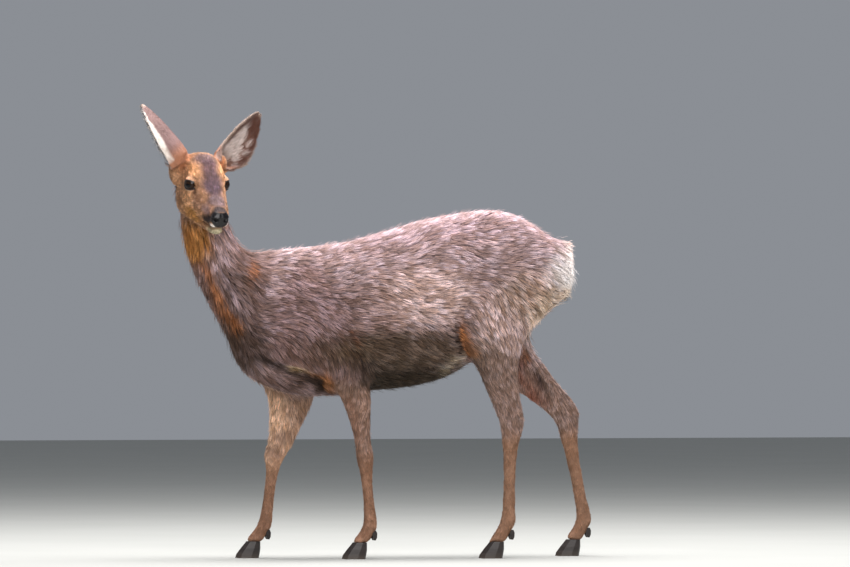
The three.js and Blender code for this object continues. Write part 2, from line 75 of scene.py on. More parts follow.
eye_centres = {1: centre_of("eye_left"), -1: centre_of("eye_right")}
eye_line = eye_centres[1] - eye_centres[-1]
head_left = eye_line / np.linalg.norm(eye_line)
level_forward = np.cross(head_left, (0, 0, 1))
head_forward = math.cos(NOSE_DOWN) * level_forward - math.sin(NOSE_DOWN) * np.array((0, 0, 1))
head_up = np.cross(head_forward, head_left)
head_axes = np.array((head_forward, head_left, head_up))
between_eyes = (eye_centres[1] + eye_centres[-1]) / 2
head_origin = between_eyes - np.array((EYE_PLACE[0], 0, EYE_PLACE[2])) * MM @ head_axes


def to_head(points):
    """Points of the row frame, in millimetres of the head's frame."""
    return (points - head_origin) @ head_axes.T / MM


def from_head(points):
    return points * MM @ head_axes + head_origin


print("head frame at", head_origin.round(4), "eyes", np.linalg.norm(eye_line).round(4), "m apart")

# %% [markdown]
# ## One skin over all the flesh
# A real hide has no joints between neck, trunk and legs. Boolean unions of the solids would keep their
# facets and creases, so the solids are swollen a little until they touch and a voxel remesh wraps them
# in one surface. Before that, space is stretched round the head: the same voxels then give the face and
# the thin ears many more points, and undoing the stretch brings the true shape back.

# %% Wrap the solids
SWELL = 0.6 * MM
EAR_SWELL = 1.5 * MM
STRETCH = 3.0
STRETCH_RADIUS = 0.17
VOXEL = 7.5 * MM
STRETCH_PLACE = (-20.0, 0, 30.0)
stretch_centre = from_head(np.array(STRETCH_PLACE))


def stretched(points, back=False):
    """Space round the head made larger, or brought back."""
    offset = points - stretch_centre
    r = np.linalg.norm(offset, axis=1, keepdims=True)
    gain = (STRETCH - 1) * STRETCH_RADIUS
    if back:
        factor = np.where(r < STRETCH * STRETCH_RADIUS, 1 / STRETCH, 1 - gain / r)
    else:
        factor = np.where(r < STRETCH_RADIUS, STRETCH, 1 + gain / r)
    return stretch_centre + offset * factor


def arrays_of(bm):
    """The points and the triangles of a bmesh, which is then freed."""
    points = np.array([v.co for v in bm.verts])
    faces = np.array([[v.index for v in f.verts] for f in bm.faces])
    bm.free()
    return points, faces


def welded(node):
    """A node's points, its triangles and the outward direction at each point."""
    bm = bmesh.new()
    bm.from_mesh(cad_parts[node].data)
    bmesh.ops.remove_doubles(bm, verts=bm.verts, dist=0.01 * MM)
    bmesh.ops.triangulate(bm, faces=bm.faces)
    bm.normal_update()
    normals = np.array([v.normal for v in bm.verts])
    return *arrays_of(bm), normals


EAR_ROOT = (15.0, 12.0, 20.0)
EAR_ROOT_SINK = 14.0
EAR_ROOT_BACK = 6.0
EAR_OPENING = {1: (0.263, -0.925, -0.3), -1: (-0.66, 0.58, -0.45)}


def ear_root(side):
    """An egg at the foot of an ear, in metres: it lies along the ear and partly in the head."""
    points = welded("ear_left" if side > 0 else "ear_right")[0]
    far = np.linalg.norm(points - head_origin, axis=1)
    tip, foot = points[far.argmax()], points[far < np.quantile(far, 0.1)].mean(0)
    way = (tip - foot) / np.linalg.norm(tip - foot)
    across = np.cross(way, head_forward)
    across /= np.linalg.norm(across)
    axes = np.array((across, np.cross(way, across), way)) * np.array(EAR_ROOT)[:, None] * MM
    bm = bmesh.new()
    bmesh.ops.create_icosphere(bm, subdivisions=3, radius=1)
    ball, faces = arrays_of(bm)
    behind = np.array(EAR_OPENING[side]) * EAR_ROOT_BACK * MM
    return ball @ axes + foot - way * EAR_ROOT_SINK * MM - behind, faces, way, foot


def wrapped(nodes):
    points, faces, owner, start = [], [], [], 0
    for side in (1, -1):
        ball, triangles, _, _ = ear_root(side)
        points.append(ball)
        faces.append(triangles + start)
        owner += [nodes.index("head")] * len(triangles)
        start += len(ball)
    for number, node in enumerate(nodes):
        p, f, n = welded(node)
        points.append(p + n * (EAR_SWELL if node.startswith("ear") else SWELL))
        faces.append(f + start)
        owner += [number] * len(f)
        start += len(p)
    points, faces = np.concatenate(points), np.concatenate(faces)
    mesh = bpy.data.meshes.new("wrap")
    mesh.from_pydata(stretched(points).tolist(), [], faces.tolist())
    ob = bpy.data.objects.new("wrap", mesh)
    bpy.context.scene.collection.objects.link(ob)
    remesh = ob.modifiers.new("wrap", "REMESH")
    remesh.mode, remesh.voxel_size = "VOXEL", VOXEL
    result = bpy.data.meshes.new_from_object(ob.evaluated_get(bpy.context.evaluated_depsgraph_get()))
    bpy.data.objects.remove(ob)
    return result, BVHTree.FromPolygons(points.tolist(), faces.tolist()), owner


def column(mesh_items, name, width):
    out = np.empty(len(mesh_items) * width, np.float32 if width > 1 else np.int32)
    mesh_items.foreach_get(name, out)
    return out.reshape(-1, width).astype(float) if width > 1 else out


wrap, flesh_tree, flesh_owner = wrapped(FLESH + EYES)
skin_points = stretched(column(wrap.vertices, "co", 3), back=True)
print("skin of", len(skin_points), "points")

# %% [markdown]
# ## More points where the face is finest
# Lids, nostrils and the line of the mouth are a millimetre or two across. Splitting the triangles there
# once or twice gives them enough points, where a finer mesh everywhere would weigh ten times as much.

# %% Split the faces of the face
def eye_offset(local, side):
    return np.linalg.norm(local - EYE_PLACE * (1, side, 1), axis=1)


#               level 1  level 2, in millimetres of the head's frame
FINE_ROUND_EYE = {1: 24, 2: 19}
FINE_NOSE_FROM = {1: 92, 2: 108}


def fine_zone(points, level):
    """True where the face needs this level of splitting."""
    local = to_head(points)
    x, y, z = local.T
    eyes = np.minimum(eye_offset(local, 1), eye_offset(local, -1)) < FINE_ROUND_EYE[level]
    nose = (x > FINE_NOSE_FROM[level]) & (z > -56) & (np.abs(y) < 40)
    mouth = (x > 48) & (np.abs(z + 66 - (x - 48) * 0.27) < 14) & (level == 1)
    return (eyes | nose | mouth) & (x > -40) & (x < 140) & (np.abs(y) < 60)


def refined(mesh, points):
    bm = bmesh.new()
    bm.from_mesh(mesh)
    for v, p in zip(bm.verts, points):
        v.co = p
    bmesh.ops.triangulate(bm, faces=bm.faces)
    for level in ((1, 2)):
        inside = fine_zone(np.array([v.co for v in bm.verts]), level)
        edges = [e for e in bm.edges if inside[e.verts[0].index] and inside[e.verts[1].index]]
        bmesh.ops.subdivide_edges(bm, edges=edges, cuts=1)
        bmesh.ops.triangulate(bm, faces=bm.faces)
        bm.verts.index_update()
    edges = np.array([[v.index for v in e.verts] for e in bm.edges])
    return *arrays_of(bm), edges


skin_points, skin_faces, skin_edges = refined(wrap, skin_points)
print("skin of", len(skin_faces), "triangles")

# %% [markdown]
# ## Softened like a body
# The solids have flat facets a few centimetres wide and sharp lines where the legs meet the trunk.
# Moving each point towards the mean of its neighbours rounds them off, but alone that would shrink the
# slender legs. Each pass is therefore followed by a slightly stronger one the other way, which keeps
# the girth and still takes the facets out.

# %% Smooth without shrinking
SOFTEN, SWELL_BACK = 0.5, -0.53


def net_of(edges, count):
    a, b = edges[:, 0], edges[:, 1]
    return a, b, np.maximum(np.bincount(a, minlength=count) + np.bincount(b, minlength=count), 1)


def around(net, values):
    """The mean of each point's neighbours."""
    a, b, count = net
    flat = values.reshape(len(values), -1)
    out = np.empty(flat.shape)
    for k in range(flat.shape[1]):
        out[:, k] = np.bincount(a, flat[b, k], len(count)) + np.bincount(b, flat[a, k], len(count))
    return (out / count[:, None]).reshape(values.shape)


def blurred(net, values, passes):
    for _ in range(passes):
        values = 0.5 * values + 0.5 * around(net, values)
    return values


def smoothed(net, points, passes, share=1.0):
    for _ in range(passes):
        points = points + SOFTEN * share * (around(net, points) - points)
        points = points + SWELL_BACK * share * (around(net, points) - points)
    return points


def unit(vectors):
    return vectors / np.maximum(np.linalg.norm(vectors, axis=-1, keepdims=True), 1e-12)


def smooth01(low, high, value):
    t = np.clip((value - low) / (high - low), 0, 1)
    return t * t * (3 - 2 * t)


def point_normals(points, faces):
    """Outward directions at the points, larger faces counting more."""
    p = points[faces]
    face = np.cross(p[:, 1] - p[:, 0], p[:, 2] - p[:, 0])
    out = np.zeros(points.shape)
    for k in range(3):
        for axis in range(3):
            out[:, axis] += np.bincount(faces[:, k], face[:, axis], len(points))
    return unit(out)


net = net_of(skin_edges, len(skin_points))

# %% [markdown]
# ## Which part of her is where
# How deep the coat is, how long its hairs are and which way they lie depend on the part of the body. Each
# point of the skin takes the name of the nearest solid, and blurring those names over the surface makes
# them melt into each other as they do on a living animal.

# %% Regions that melt into each other
FAMILIES = ("trunk", "neck", "head", "ear_left", "ear_right", "tail", "thigh", "gaskin", "hind_cannon",
            "upper_arm", "forearm", "fore_cannon")
MELT_PASSES = 14


def family_of(node):
    if node in EYES:
        return "head"
    if node.endswith("cannon"):
        return node[:4] + "_cannon"
    for family in FAMILIES:
        if node.endswith(family):
            return family


nearest = [flesh_tree.find_nearest(Vector(p))[2] for p in skin_points]
family_number = {node: FAMILIES.index(family_of(node)) for node in FLESH + EYES}
owner_family = np.array([family_number[(FLESH + EYES)[n]] for n in flesh_owner])
shares = np.eye(len(FAMILIES))[owner_family[nearest]]
print(dict(zip(FAMILIES, shares.sum(0).astype(int).tolist())))
shares = blurred(net, shares, MELT_PASSES)
part = {family: shares[:, k] for k, family in enumerate(FAMILIES)}
ears = part["ear_left"] + part["ear_right"]
off_head, off_ears = 1 - part["head"], 1 - ears

# %% [markdown]
# ## Sinking the skin under the coat
# The solids end where the hair ends. The skin lies deeper by the height of the coat: about a
# centimetre on the trunk, two millimetres on the shins and face, almost nothing on the ears.

# %% Coat depth and hair length
#            depth  length  width (mm)  contrast
COAT = {
    "trunk": (11.0, 25, 1.15, 0.80),
    "neck": (12.0, 32, 1.25, 0.90),
    "head": (2.3, 6.5, 0.62, 0.85),
    "ear_left": (0.8, 6.5, 0.55, 0.50),
    "ear_right": (0.8, 6.5, 0.55, 0.50),
    "tail": (7.0, 22, 1.2, 0.45),
    "thigh": (9.5, 21, 1.15, 0.85),
    "gaskin": (5.0, 15, 1.1, 0.65),
    "hind_cannon": (2.2, 9.0, 1.0, 0.5),
    "upper_arm": (9.0, 22, 1.15, 0.75),
    "forearm": (4.5, 14, 1.1, 0.60),
    "fore_cannon": (2.0, 9.0, 1.0, 0.5),
}
SUNK = 0.78
WHOLE_PASSES, HEAD_PASSES = 12, 30


def coat_field(item):
    return sum(part[family] * COAT[family][item] for family in FAMILIES)


coat_depth, hair_length, hair_width = (coat_field(item) * MM for item in range(3))
contrast = coat_field(3)
on_head_part = np.clip(part["head"], 0, 1)
SOFT_PASSES = {"trunk": 70, "neck": 55, "thigh": 55, "upper_arm": 45, "gaskin": 16, "forearm": 14, "tail": 6,
               "hind_cannon": 6, "fore_cannon": 6, "head": 5, "ear_left": 0, "ear_right": 0}
wanted_passes = sum(part[family] * count for family, count in SOFT_PASSES.items())
skin_points = smoothed(net, skin_points, WHOLE_PASSES, (1 - 0.4 * ears)[:, None])
skin_points = smoothed(net, skin_points, HEAD_PASSES, (on_head_part * off_ears)[:, None])
for k in range(max(SOFT_PASSES.values())):
    share = np.clip(wanted_passes - k, 0, 1)[:, None]
    skin_points = skin_points + SOFTEN * share * (around(net, skin_points) - skin_points)
print("softened over up to", max(SOFT_PASSES.values()), "passes")

# %% [markdown]
# Softening moves the skin a little, so how far each point now lies under the solids is measured, and
# only the rest of the way is added. The correction is blurred, or it would bring the facets back.

# %% Sink the skin to its depth
HOOF_TOP = (0.03, 0.055)  # the coat thins out between these heights
NOSE_FROM, NOSE_TO = 96, 112
EYE_REACH = 21
MOST_LIFT = 0.03
BLUR_HEAD, BLUR_BODY = 20, 80

hits = [flesh_tree.find_nearest(Vector(p)) for p in skin_points]
measured = np.array([(p - np.array(hit[0])) @ np.array(hit[1]) for p, hit in zip(skin_points, hits)])
swollen = ears * EAR_SWELL + off_ears * SWELL
lift_off = np.clip(measured, -MOST_LIFT, MOST_LIFT)
lift_head, lift_body = blurred(net, lift_off, BLUR_HEAD), blurred(net, lift_off, BLUR_BODY)
lift_off = lift_head * on_head_part + lift_body * (1 - on_head_part)
inward = unit(blurred(net, point_normals(skin_points, skin_faces), 4))
at_hoof = smooth01(*HOOF_TOP, skin_points[:, 2])
local = to_head(skin_points)
nose_bare = smooth01(NOSE_FROM, NOSE_TO, local[:, 0]) * on_head_part
near_eye = np.exp(-((np.minimum(eye_offset(local, 1), eye_offset(local, -1)) / EYE_REACH) ** 4))
sink = SUNK * coat_depth * at_hoof * (1 - 0.8 * nose_bare) * (1 - 0.65 * near_eye)
move = (sink + swollen + lift_off) * off_ears + (0.6 * EAR_SWELL) * ears
skin_points = skin_points - inward * move[:, None]
skin_points = smoothed(net, skin_points, 4, off_ears[:, None])
print("skin", len(skin_points), "points, coat up to", round(float(coat_depth.max()) * 1000, 1), "mm deep")

# %% [markdown]
# ## Folds and muscles of the body
# Where a leg joins the trunk the skin folds in, and the great tendon of the hock stands clear of the bone.
# Each fold is a line seen from the side, with a width and a depth; it acts on the outer face of both sides.

# %% Model the body
#  name, corners (x, z), width, depth
BODY_FOLDS = (
    ("behind the shoulder", ((-0.088, 0.545), (-0.068, 0.49), (-0.04, 0.435), (-0.026, 0.375)),
     0.015, -0.009),
    ("flank fold", ((0.19, 0.545), (0.176, 0.512), (0.176, 0.48), (0.188, 0.45), (0.206, 0.425)),
     0.011, -0.013),
    ("edge of the thigh", ((0.212, 0.54), (0.2, 0.5), (0.204, 0.47), (0.22, 0.44)), 0.013, 0.006),
    ("brisket groove", ((-0.262, 0.448), (-0.24, 0.424), (-0.179, 0.401), (-0.124, 0.381), (-0.1, 0.351)),
     0.012, -0.017),
    ("brisket", ((-0.245, 0.395), (-0.19, 0.368), (-0.13, 0.352)), 0.016, 0.004),
    ("tendon groove", ((0.281, 0.43), (0.278, 0.35)), 0.0055, -0.007),
    ("calf", ((0.25, 0.44), (0.246, 0.39)), 0.016, 0.003),
    ("loin hollow", ((0.12, 0.62), (0.2, 0.6), (0.235, 0.57)), 0.03, -0.004),
    ("hip", ((0.27, 0.64), (0.3, 0.6)), 0.034, 0.004),
    ("shoulder blade", ((-0.18, 0.6), (-0.13, 0.56)), 0.03, 0.003),
    ("behind the blade", ((-0.12, 0.63), (-0.095, 0.56)), 0.022, -0.004),
    ("neck base", ((-0.275, 0.6), (-0.268, 0.54), (-0.285, 0.47)), 0.02, -0.005),
)


def line_gap(values, line):
    """Distance to a line of corners, in its own plane."""
    best = np.full(len(values), 1e9)
    for p, q in zip(line, line[1:]):
        p, q = np.array(p, float), np.array(q, float)
        t = np.clip(((values - p) @ (q - p)) / ((q - p) @ (q - p)), 0, 1)
        best = np.minimum(best, np.linalg.norm(values - p - t[:, None] * (q - p), axis=1))
    return best


outward = unit(blurred(net, point_normals(skin_points, skin_faces), 6))
middle_y = float(centre_of("trunk")[1])
outer_face = smooth01(0.0, 0.45, np.sign(skin_points[:, 1] - middle_y) * outward[:, 1])
in_fold = np.zeros(len(skin_points))
for _, line, width, depth in BODY_FOLDS:
    amount = np.exp(-((line_gap(skin_points[:, (0, 2)], line) / width) ** 2)) * outer_face * off_head
    skin_points = skin_points + outward * (depth * amount)[:, None]
    in_fold = np.maximum(in_fold, amount * smooth01(0.006, 0.013, -depth))
print(len(BODY_FOLDS), "folds and muscles modelled")

# %% [markdown]
# ## The face
# The wrap covered the eyes, so the lids are still to be opened. Round each eye the skin is drawn over
# the ball like a real lid, and inside the opening it drops behind the ball. Points near the edge are
# moved onto it, which keeps the rim of the lid clean. Nostrils, the mouth, the tear groove and the brow
# are pressed and raised with soft round dents, as one would model them in clay.

# %% Open the lids
LID_OUT = math.radians(51)
LID_TILT = math.radians(12)
HALF_LENGTH, UPPER, LOWER = 0.95, 0.64, 0.54
ALMOND = 1.95
LID_THICK = 1.5


def eye_frame(side):
    """Out of the socket, towards the nose, and up across the lids."""
    out = np.array((math.cos(LID_OUT), side * math.sin(LID_OUT), 0.05))
    out /= np.linalg.norm(out)
    nose = np.array((1.0, 0, 0)) - out * out[0]
    nose /= np.linalg.norm(nose)
    up = np.cross(out, nose) * -side
    c, n = math.cos(LID_TILT), math.sin(LID_TILT)
    return out, c * nose + n * up, c * up - n * nose


def lid_place(local, side):
    """1 on the edge of the lids, less inside the opening, and the direction from the ball's centre."""
    offset = local - EYE_PLACE * (1, side, 1)
    way = unit(offset)
    out, nose, up = eye_frame(side)
    a, b, c = way @ out, way @ nose, way @ up
    height = np.where(c > 0, UPPER, LOWER)
    place = (np.abs(b / HALF_LENGTH) ** ALMOND + np.abs(c / height) ** ALMOND) ** (1 / ALMOND)
    return np.where(a > 0, place, 9.0), offset, way, (a, b, c)


LID_BAND = 0.16
LID_ROLL, ROLL_AT, ROLL_WIDE = 0.35, 0.2, 0.09
FADE = (0.5, 1.6)
BEHIND_BALL = 2.2
SOCKET, SOCKET_EDGE = 30, (18, 24)

local = to_head(skin_points)
lid_edge = np.full(len(local), 9.0)
for side in (1, -1):
    place, offset, way, (a, b, c) = lid_place(local, side)
    reach = np.linalg.norm(offset, axis=1)
    close = (reach < SOCKET) & (place < 3)
    # points are drawn together at the edge of the opening, so that it is a clean line
    gap = place - 1
    drawn = np.where(np.abs(gap) < LID_BAND, gap * np.abs(gap) / LID_BAND, gap)
    tight = np.where(close & (np.abs(gap) < LID_BAND), (1 + drawn) / np.maximum(place, 0.5), 1)
    out, nose, up = eye_frame(side)
    b, c = b * tight, c * tight
    a = np.sqrt(np.clip(1 - b * b - c * c, 0, 1)) * np.sign(a)
    way = a[:, None] * out + b[:, None] * nose + c[:, None] * up
    roll = LID_ROLL * np.exp(-(((gap - ROLL_AT) / ROLL_WIDE) ** 2))
    shell = EYE_RADIUS + LID_THICK - LID_ROLL * smooth01(0.1, 0.5, gap) + roll
    fade = smooth01(*FADE, gap)
    soft = 3.0 * smooth01(0.0, 0.5, gap)
    both = (reach + shell + np.sqrt((reach - shell) ** 2 + soft**2)) / 2
    lid = both * (1 - fade) + reach * fade
    lid = np.where(gap < 0, EYE_RADIUS - BEHIND_BALL, lid)
    moved = EYE_PLACE * (1, side, 1) + way * lid[:, None]
    share = (close * (1 - smooth01(*SOCKET_EDGE, reach)))[:, None]
    local = moved * share + local * (1 - share)
    lid_edge = np.where(close & (reach < 18.5), np.minimum(lid_edge, place), lid_edge)
print("lids opened,", int((lid_edge < 1).sum()), "points lie behind the eyes")

# %% [markdown]
# The dents and swellings are listed by name with their centres in the head's frame, so that each can be
# moved or deepened by itself. They act on both sides alike.

# %% Model the face
#  name            along  aside   up   radii(along, aside, up)  height
FACE_FORMS = (
    ("brow", 6.0, 36.0, 21.0, (15, 9, 5.5), 1.6),
    ("before the eye", 24.0, 36.0, 3.0, (9, 8, 8), -3.2),
    ("behind the eye", -14.0, 46.0, 3.0, (8, 8, 8), -2.0),
    ("brow crease", 15.0, 33.5, 19.0, (6.5, 4.0, 2.2), -1.3),
    ("tear groove", 26.0, 35.0, -4.0, (8.0, 5.0, 2.2), -1.9),
    ("tear groove end", 34.0, 34.0, -8.5, (6.0, 5.0, 2.2), -1.2),
    ("under the eye", 6.0, 44.0, -15.0, (15, 8, 4.0), -1.0),
    ("cheek bone", 22.0, 40.0, -24.0, (24, 9, 9.0), 1.6),
    ("temple", -22.0, 42.0, 12.0, (15, 10, 11), -1.8),
    ("forehead furrow", 4.0, 0.0, 46.0, (26, 5.5, 12), -0.9),
    ("muzzle side", 84.0, 22.0, -26.0, (20, 10, 10), -1.4),
    ("whisker pad", 106.0, 17.0, -38.0, (10, 8, 7), 1.2),
    ("nose bridge edge", 76.0, 14.0, 0.0, (30, 5, 6), 0.7),
    ("nose wing", 115.0, 17.0, -21.0, (5.0, 4.5, 5.5), 1.8),
    ("nose middle", 121.0, 0.0, -24.0, (5.0, 3.2, 13), -0.8),
    ("nose top roll", 113.0, 6.0, -10.5, (6, 13, 4.5), 1.3),
    ("lip cleft", 119.5, 0.0, -42.0, (6.0, 1.5, 7.0), -1.2),
    ("chin", 104.0, 0.0, -60.0, (9, 9, 6), 0.8),
)
#  name            along  aside   up   radii(along, aside, up)  pressed back and inwards
NOSE_OPENINGS = (
    ("nostril", 118.0, 11.0, -27.0, (9.0, 4.6, 3.4), (-6.5, -1.0, 1.0)),
    ("nostril slit", 114.0, 15.8, -24.0, (8.0, 3.8, 1.9), (-3.5, -2.5, 0.0)),
)
MOUTH = ((118.5, -47.5), (104.0, -50.0), (88.0, -52.5), (74.0, -54.5), (61.0, -57.5))
MOUTH_WIDE, MOUTH_DEEP = 1.7, 2.6


def folded_over(local):
    """The head's points with her right side laid over her left."""
    return np.stack((local[:, 0], np.abs(local[:, 1]), local[:, 2]), 1)


face_normals = unit(blurred(net, point_normals(from_head(local), skin_faces), 2)) @ head_axes.T
on_head = np.clip(part["head"] * 1.2, 0, 1) * smooth01(1.15, 1.5, lid_edge)
push = np.zeros(len(local))
for _, along, aside, up, radii, height in FACE_FORMS:
    gap = (folded_over(local) - (along, aside, up)) / radii
    push += height * np.exp(-((gap**2).sum(1)))
mouth_gap = line_gap(local[:, (0, 2)], MOUTH)
mouth = np.exp(-((mouth_gap / MOUTH_WIDE) ** 2)) * (local[:, 0] > 56) * (np.abs(local[:, 1]) < 40)
push -= MOUTH_DEEP * mouth
local = local + face_normals * (push * on_head)[:, None]
nostril = np.zeros(len(local))
for _, along, aside, up, radii, way in NOSE_OPENINGS:
    amount = np.exp(-((((folded_over(local) - (along, aside, up)) / radii) ** 2).sum(1) ** 1.6)) * on_head
    nostril = np.maximum(nostril, amount)
    one = np.ones(len(local))
    local = local + amount[:, None] * np.array(way) * np.stack((one, np.sign(local[:, 1]), one), 1)
skin_points = from_head(local)
print("face modelled with", len(FACE_FORMS), "forms")

# %% [markdown]
# ## The lie of the coat
# Hair grows backwards over the face, down the neck and shoulder, back along the trunk and down the legs.
# Each region has its own direction and the blurred regions join them; the coat follows this one
# field. Round the eyes the hair parts, and on the ears it fans towards the tip.

# %% Which way the hair lies
outward = unit(blurred(net, point_normals(skin_points, skin_faces), 2))
x, y, z = skin_points.T
aside = y - middle_y
local = to_head(skin_points)


def toward(along, aside, up):
    """A direction at every point; any of the three may vary over the skin."""
    return np.stack(np.broadcast_arrays(along, aside, up), -1) + 0 * skin_points


def head_way(along, aside, up):
    return toward(0, 0, 0) + np.stack(np.broadcast_arrays(along, aside, up), -1) @ head_axes


low_side = 1 - smooth01(0.40, 0.66, z)
front = 1 - smooth01(-0.22, 0.02, x)
rump = smooth01(0.36, 0.46, x)
on_shoulder = smooth01(0.42, 0.51, z)
high_thigh = smooth01(0.50, 0.60, z)
falling = -0.10 - 0.28 * low_side * (1 - rump) - 0.2 * front * low_side - 0.45 * rump
lie = {
    "trunk": toward(1 - 0.15 * front - 0.55 * rump, 0.0, falling),
    "neck": toward(0.10 + 0.62 * smooth01(0.74, 0.58, z) * smooth01(-0.40, -0.30, x), 0.0, -0.95),
    "head": head_way(-1.0, 0.10 * np.sign(local[:, 1]), np.where(local[:, 2] > 0, 0.15, -0.42)),
    "tail": toward(0.35, 0.0, -1.0),
    "thigh": toward(0.42 + 0.5 * high_thigh, 0.0, -0.95 + 0.3 * high_thigh),
    "gaskin": toward(0.25, 0.0, -1.0),
    "hind_cannon": toward(0.05, 0.0, -1.0),
    "upper_arm": toward(0.32 + 0.6 * on_shoulder, 0.0, -0.95 + 0.6 * on_shoulder),
    "forearm": toward(-0.02, 0.0, -1.0),
    "fore_cannon": toward(0.0, 0.0, -1.0),
}
FAN_BELOW, EAR_LONG = 0.055, 0.15  # where the fan of the hair starts below the foot; metres

ear_side = np.where(local[:, 1] > 0, 1, -1)
ear_way, ear_foot, ear_open = np.zeros((3,) + skin_points.shape)
for side in (1, -1):
    _, _, way, foot = ear_root(side)
    ear_way[ear_side == side], ear_foot[ear_side == side] = way, foot
    ear_open[ear_side == side] = EAR_OPENING[side]
fan = unit(skin_points - (ear_foot - FAN_BELOW * ear_way))
turned_in = (outward * ear_open).sum(1) - 0.35 * (ear_side < 0)
ear_inside = smooth01(0.0, 0.35, turned_in) * smooth01(0.4, 0.8, ears)
ear_height = np.clip(((skin_points - ear_foot) * ear_way).sum(1) / EAR_LONG, -0.2, 1)
ear_medial = unit(np.cross(ear_open, ear_way))


def rim_to_rim():
    """Across each ear: -1 on the outer rim, 1 on the inner one, at whatever height."""
    across = ((skin_points - ear_foot) * ear_medial).sum(1)
    out = np.zeros(len(across))
    for side in (1, -1):
        here = (ears > 0.6) & (ear_side == side)
        steps = np.linspace(0.1, 0.98, 23)
        low, high = [], []
        for step in steps:
            band = across[here & (np.abs(ear_height - step) < 0.03)]
            low.append(np.quantile(band, 0.01))
            high.append(np.quantile(band, 0.99))
        low, high = np.interp(ear_height, steps, low), np.interp(ear_height, steps, high)
        out = np.where(ear_side == side, 2 * (across - low) / np.maximum(high - low, 1e-4) - 1, out)
    return np.clip(out, -1.3, 1.3)


ear_across = rim_to_rim()
ear_rim = ears * np.maximum(smooth01(0.80, 0.98, np.abs(ear_across)), smooth01(0.93, 0.99, ear_height))
spill = smooth01(0.35, 0.9, np.abs(ear_across)) * ear_inside * np.where(ear_side < 0, 1.0, 0.35)
lie["ear_left"] = lie["ear_right"] = unit(fan * (1 - 0.55 * spill)[:, None] + spill[:, None] * (
    ear_open * 0.9 + ear_medial * np.sign(ear_across)[:, None] * 0.5))
flow = sum(part[family][:, None] * lie[family] for family in FAMILIES)
for side in (1, -1):
    gap = local - EYE_PLACE * (1, side, 1)
    near = np.exp(-((np.linalg.norm(gap, axis=1) / 24) ** 4)) * part["head"]
    flow = flow + 0.9 * near[:, None] * (unit(gap) @ head_axes)
swirl = 0.20 * np.sin(31 * x + 17 * z)
swirl += 0.16 * np.sin(47 * z - 23 * x + 3 * np.sign(aside)) * off_head
flow = flow + swirl[:, None] * np.cross(outward, flow)
flow = unit(flow - outward * (flow * outward).sum(1)[:, None])
flow = unit(blurred(net, flow, 3))
print("lie of the coat set at", len(flow), "points")

# %% [markdown]
# ## Her colours
# She is changing coat: grey-brown winter hair with rufous summer hair showing in streaks on the neck, at
# the withers and in the fold of the flank. The face is tawny with a slate forehead, a black nose with a
# dark band round it and white lips and chin; the rump patch is white. Each marking is a soft egg with a
# name, a place, three radii and a colour, laid over the ground colour of its region. Skin and coat
# share the result, so they can never disagree. A hair is seen near its tip, so the marks of the long coat
# are looked up there and not at the root.

# %% Colours of the regions and markings
def paint(*srgb):
    """A colour given as 0 to 255 screen values, made linear for rendering."""
    c = np.array(srgb) / 255
    return np.where(c <= 0.04045, c / 12.92, ((c + 0.055) / 1.055) ** 2.4)


GROUND = {
    "trunk": (158, 138, 138),
    "neck": (122, 100, 95),
    "head": (176, 134, 100),
    "ear_left": (126, 102, 99),
    "ear_right": (126, 102, 99),
    "tail": (206, 168, 156),
    "thigh": (178, 156, 151),
    "gaskin": (140, 118, 108),
    "hind_cannon": (140, 108, 86),
    "upper_arm": (142, 118, 116),
    "forearm": (142, 116, 102),
    "fore_cannon": (142, 108, 86),
}
#  name               along  aside  up     radii (along, aside, up)   colour               strength
HEAD_MARKS = (
    ("brow", -4, 32, 32, (22, 13, 13), (226, 172, 124), 0.95),
    ("ear foot", -48, 38, 30, (17, 17, 20), (190, 124, 84), 0.9),
    ("cheek", 14, 42, -28, (32, 16, 21), (222, 172, 128), 0.9),
    ("cheek front", 50, 30, -16, (26, 12, 18), (178, 138, 112), 0.8),
    ("low cheek", 30, 30, -56, (36, 16, 15), (184, 132, 68), 0.85),
    ("lip corner tawny", 58, 24, -46, (13, 10, 10), (190, 146, 106), 0.8),
    ("forehead", -24, 0, 50, (24, 26, 17), (112, 88, 88), 0.95),
    ("forehead low", 5, 0, 41, (18, 17, 11), (112, 84, 90), 0.9),
    ("forehead dark", -6, 3, 48, (12, 13, 9), (78, 54, 60), 0.75),
    ("bridge", 48, 0, 19, (40, 23, 20), (92, 74, 82), 0.95),
    ("bridge head", 24, 0, 32, (22, 16, 14), (100, 78, 82), 0.9),
    ("bridge middle", 56, 2, 15, (26, 11, 12), (88, 68, 78), 0.6),
    ("bridge front", 82, 0, 0, (18, 22, 13), (112, 94, 98), 0.92),
    ("muzzle side", 84, 25, -20, (18, 11, 13), (166, 136, 132), 0.85),
    ("nose band", 106, 0, -8, (11, 24, 10), (40, 29, 35), 0.95),
    ("nose band side", 106, 19, -18, (6, 7, 9), (36, 26, 30), 0.92),
    ("nose side", 98, 22, -33, (14, 9, 13), (28, 20, 24), 0.97),
    ("lip patch", 86, 24, -42, (15, 10, 9), (26, 18, 20), 0.96),
    ("tear line", 27, 35, -4, (9, 6, 3.4), (60, 40, 36), 0.75),
    ("brow crease line", 14, 33, 20, (8, 6, 2.2), (74, 48, 38), 0.7),
    ("upper lip white", 113, 15, -41, (7, 6, 5), (246, 242, 236), 0.97),
    # painted reflection: the white chin is painted greyer and yellow-green, as light thrown up onto it from
    # the ground
    ("chin", 101, 0, -61, (19, 20, 9.5), (182, 176, 146), 0.98),
    ("jaw shade", 20, 20, -82, (40, 18, 7), (110, 76, 44), 0.7),
)
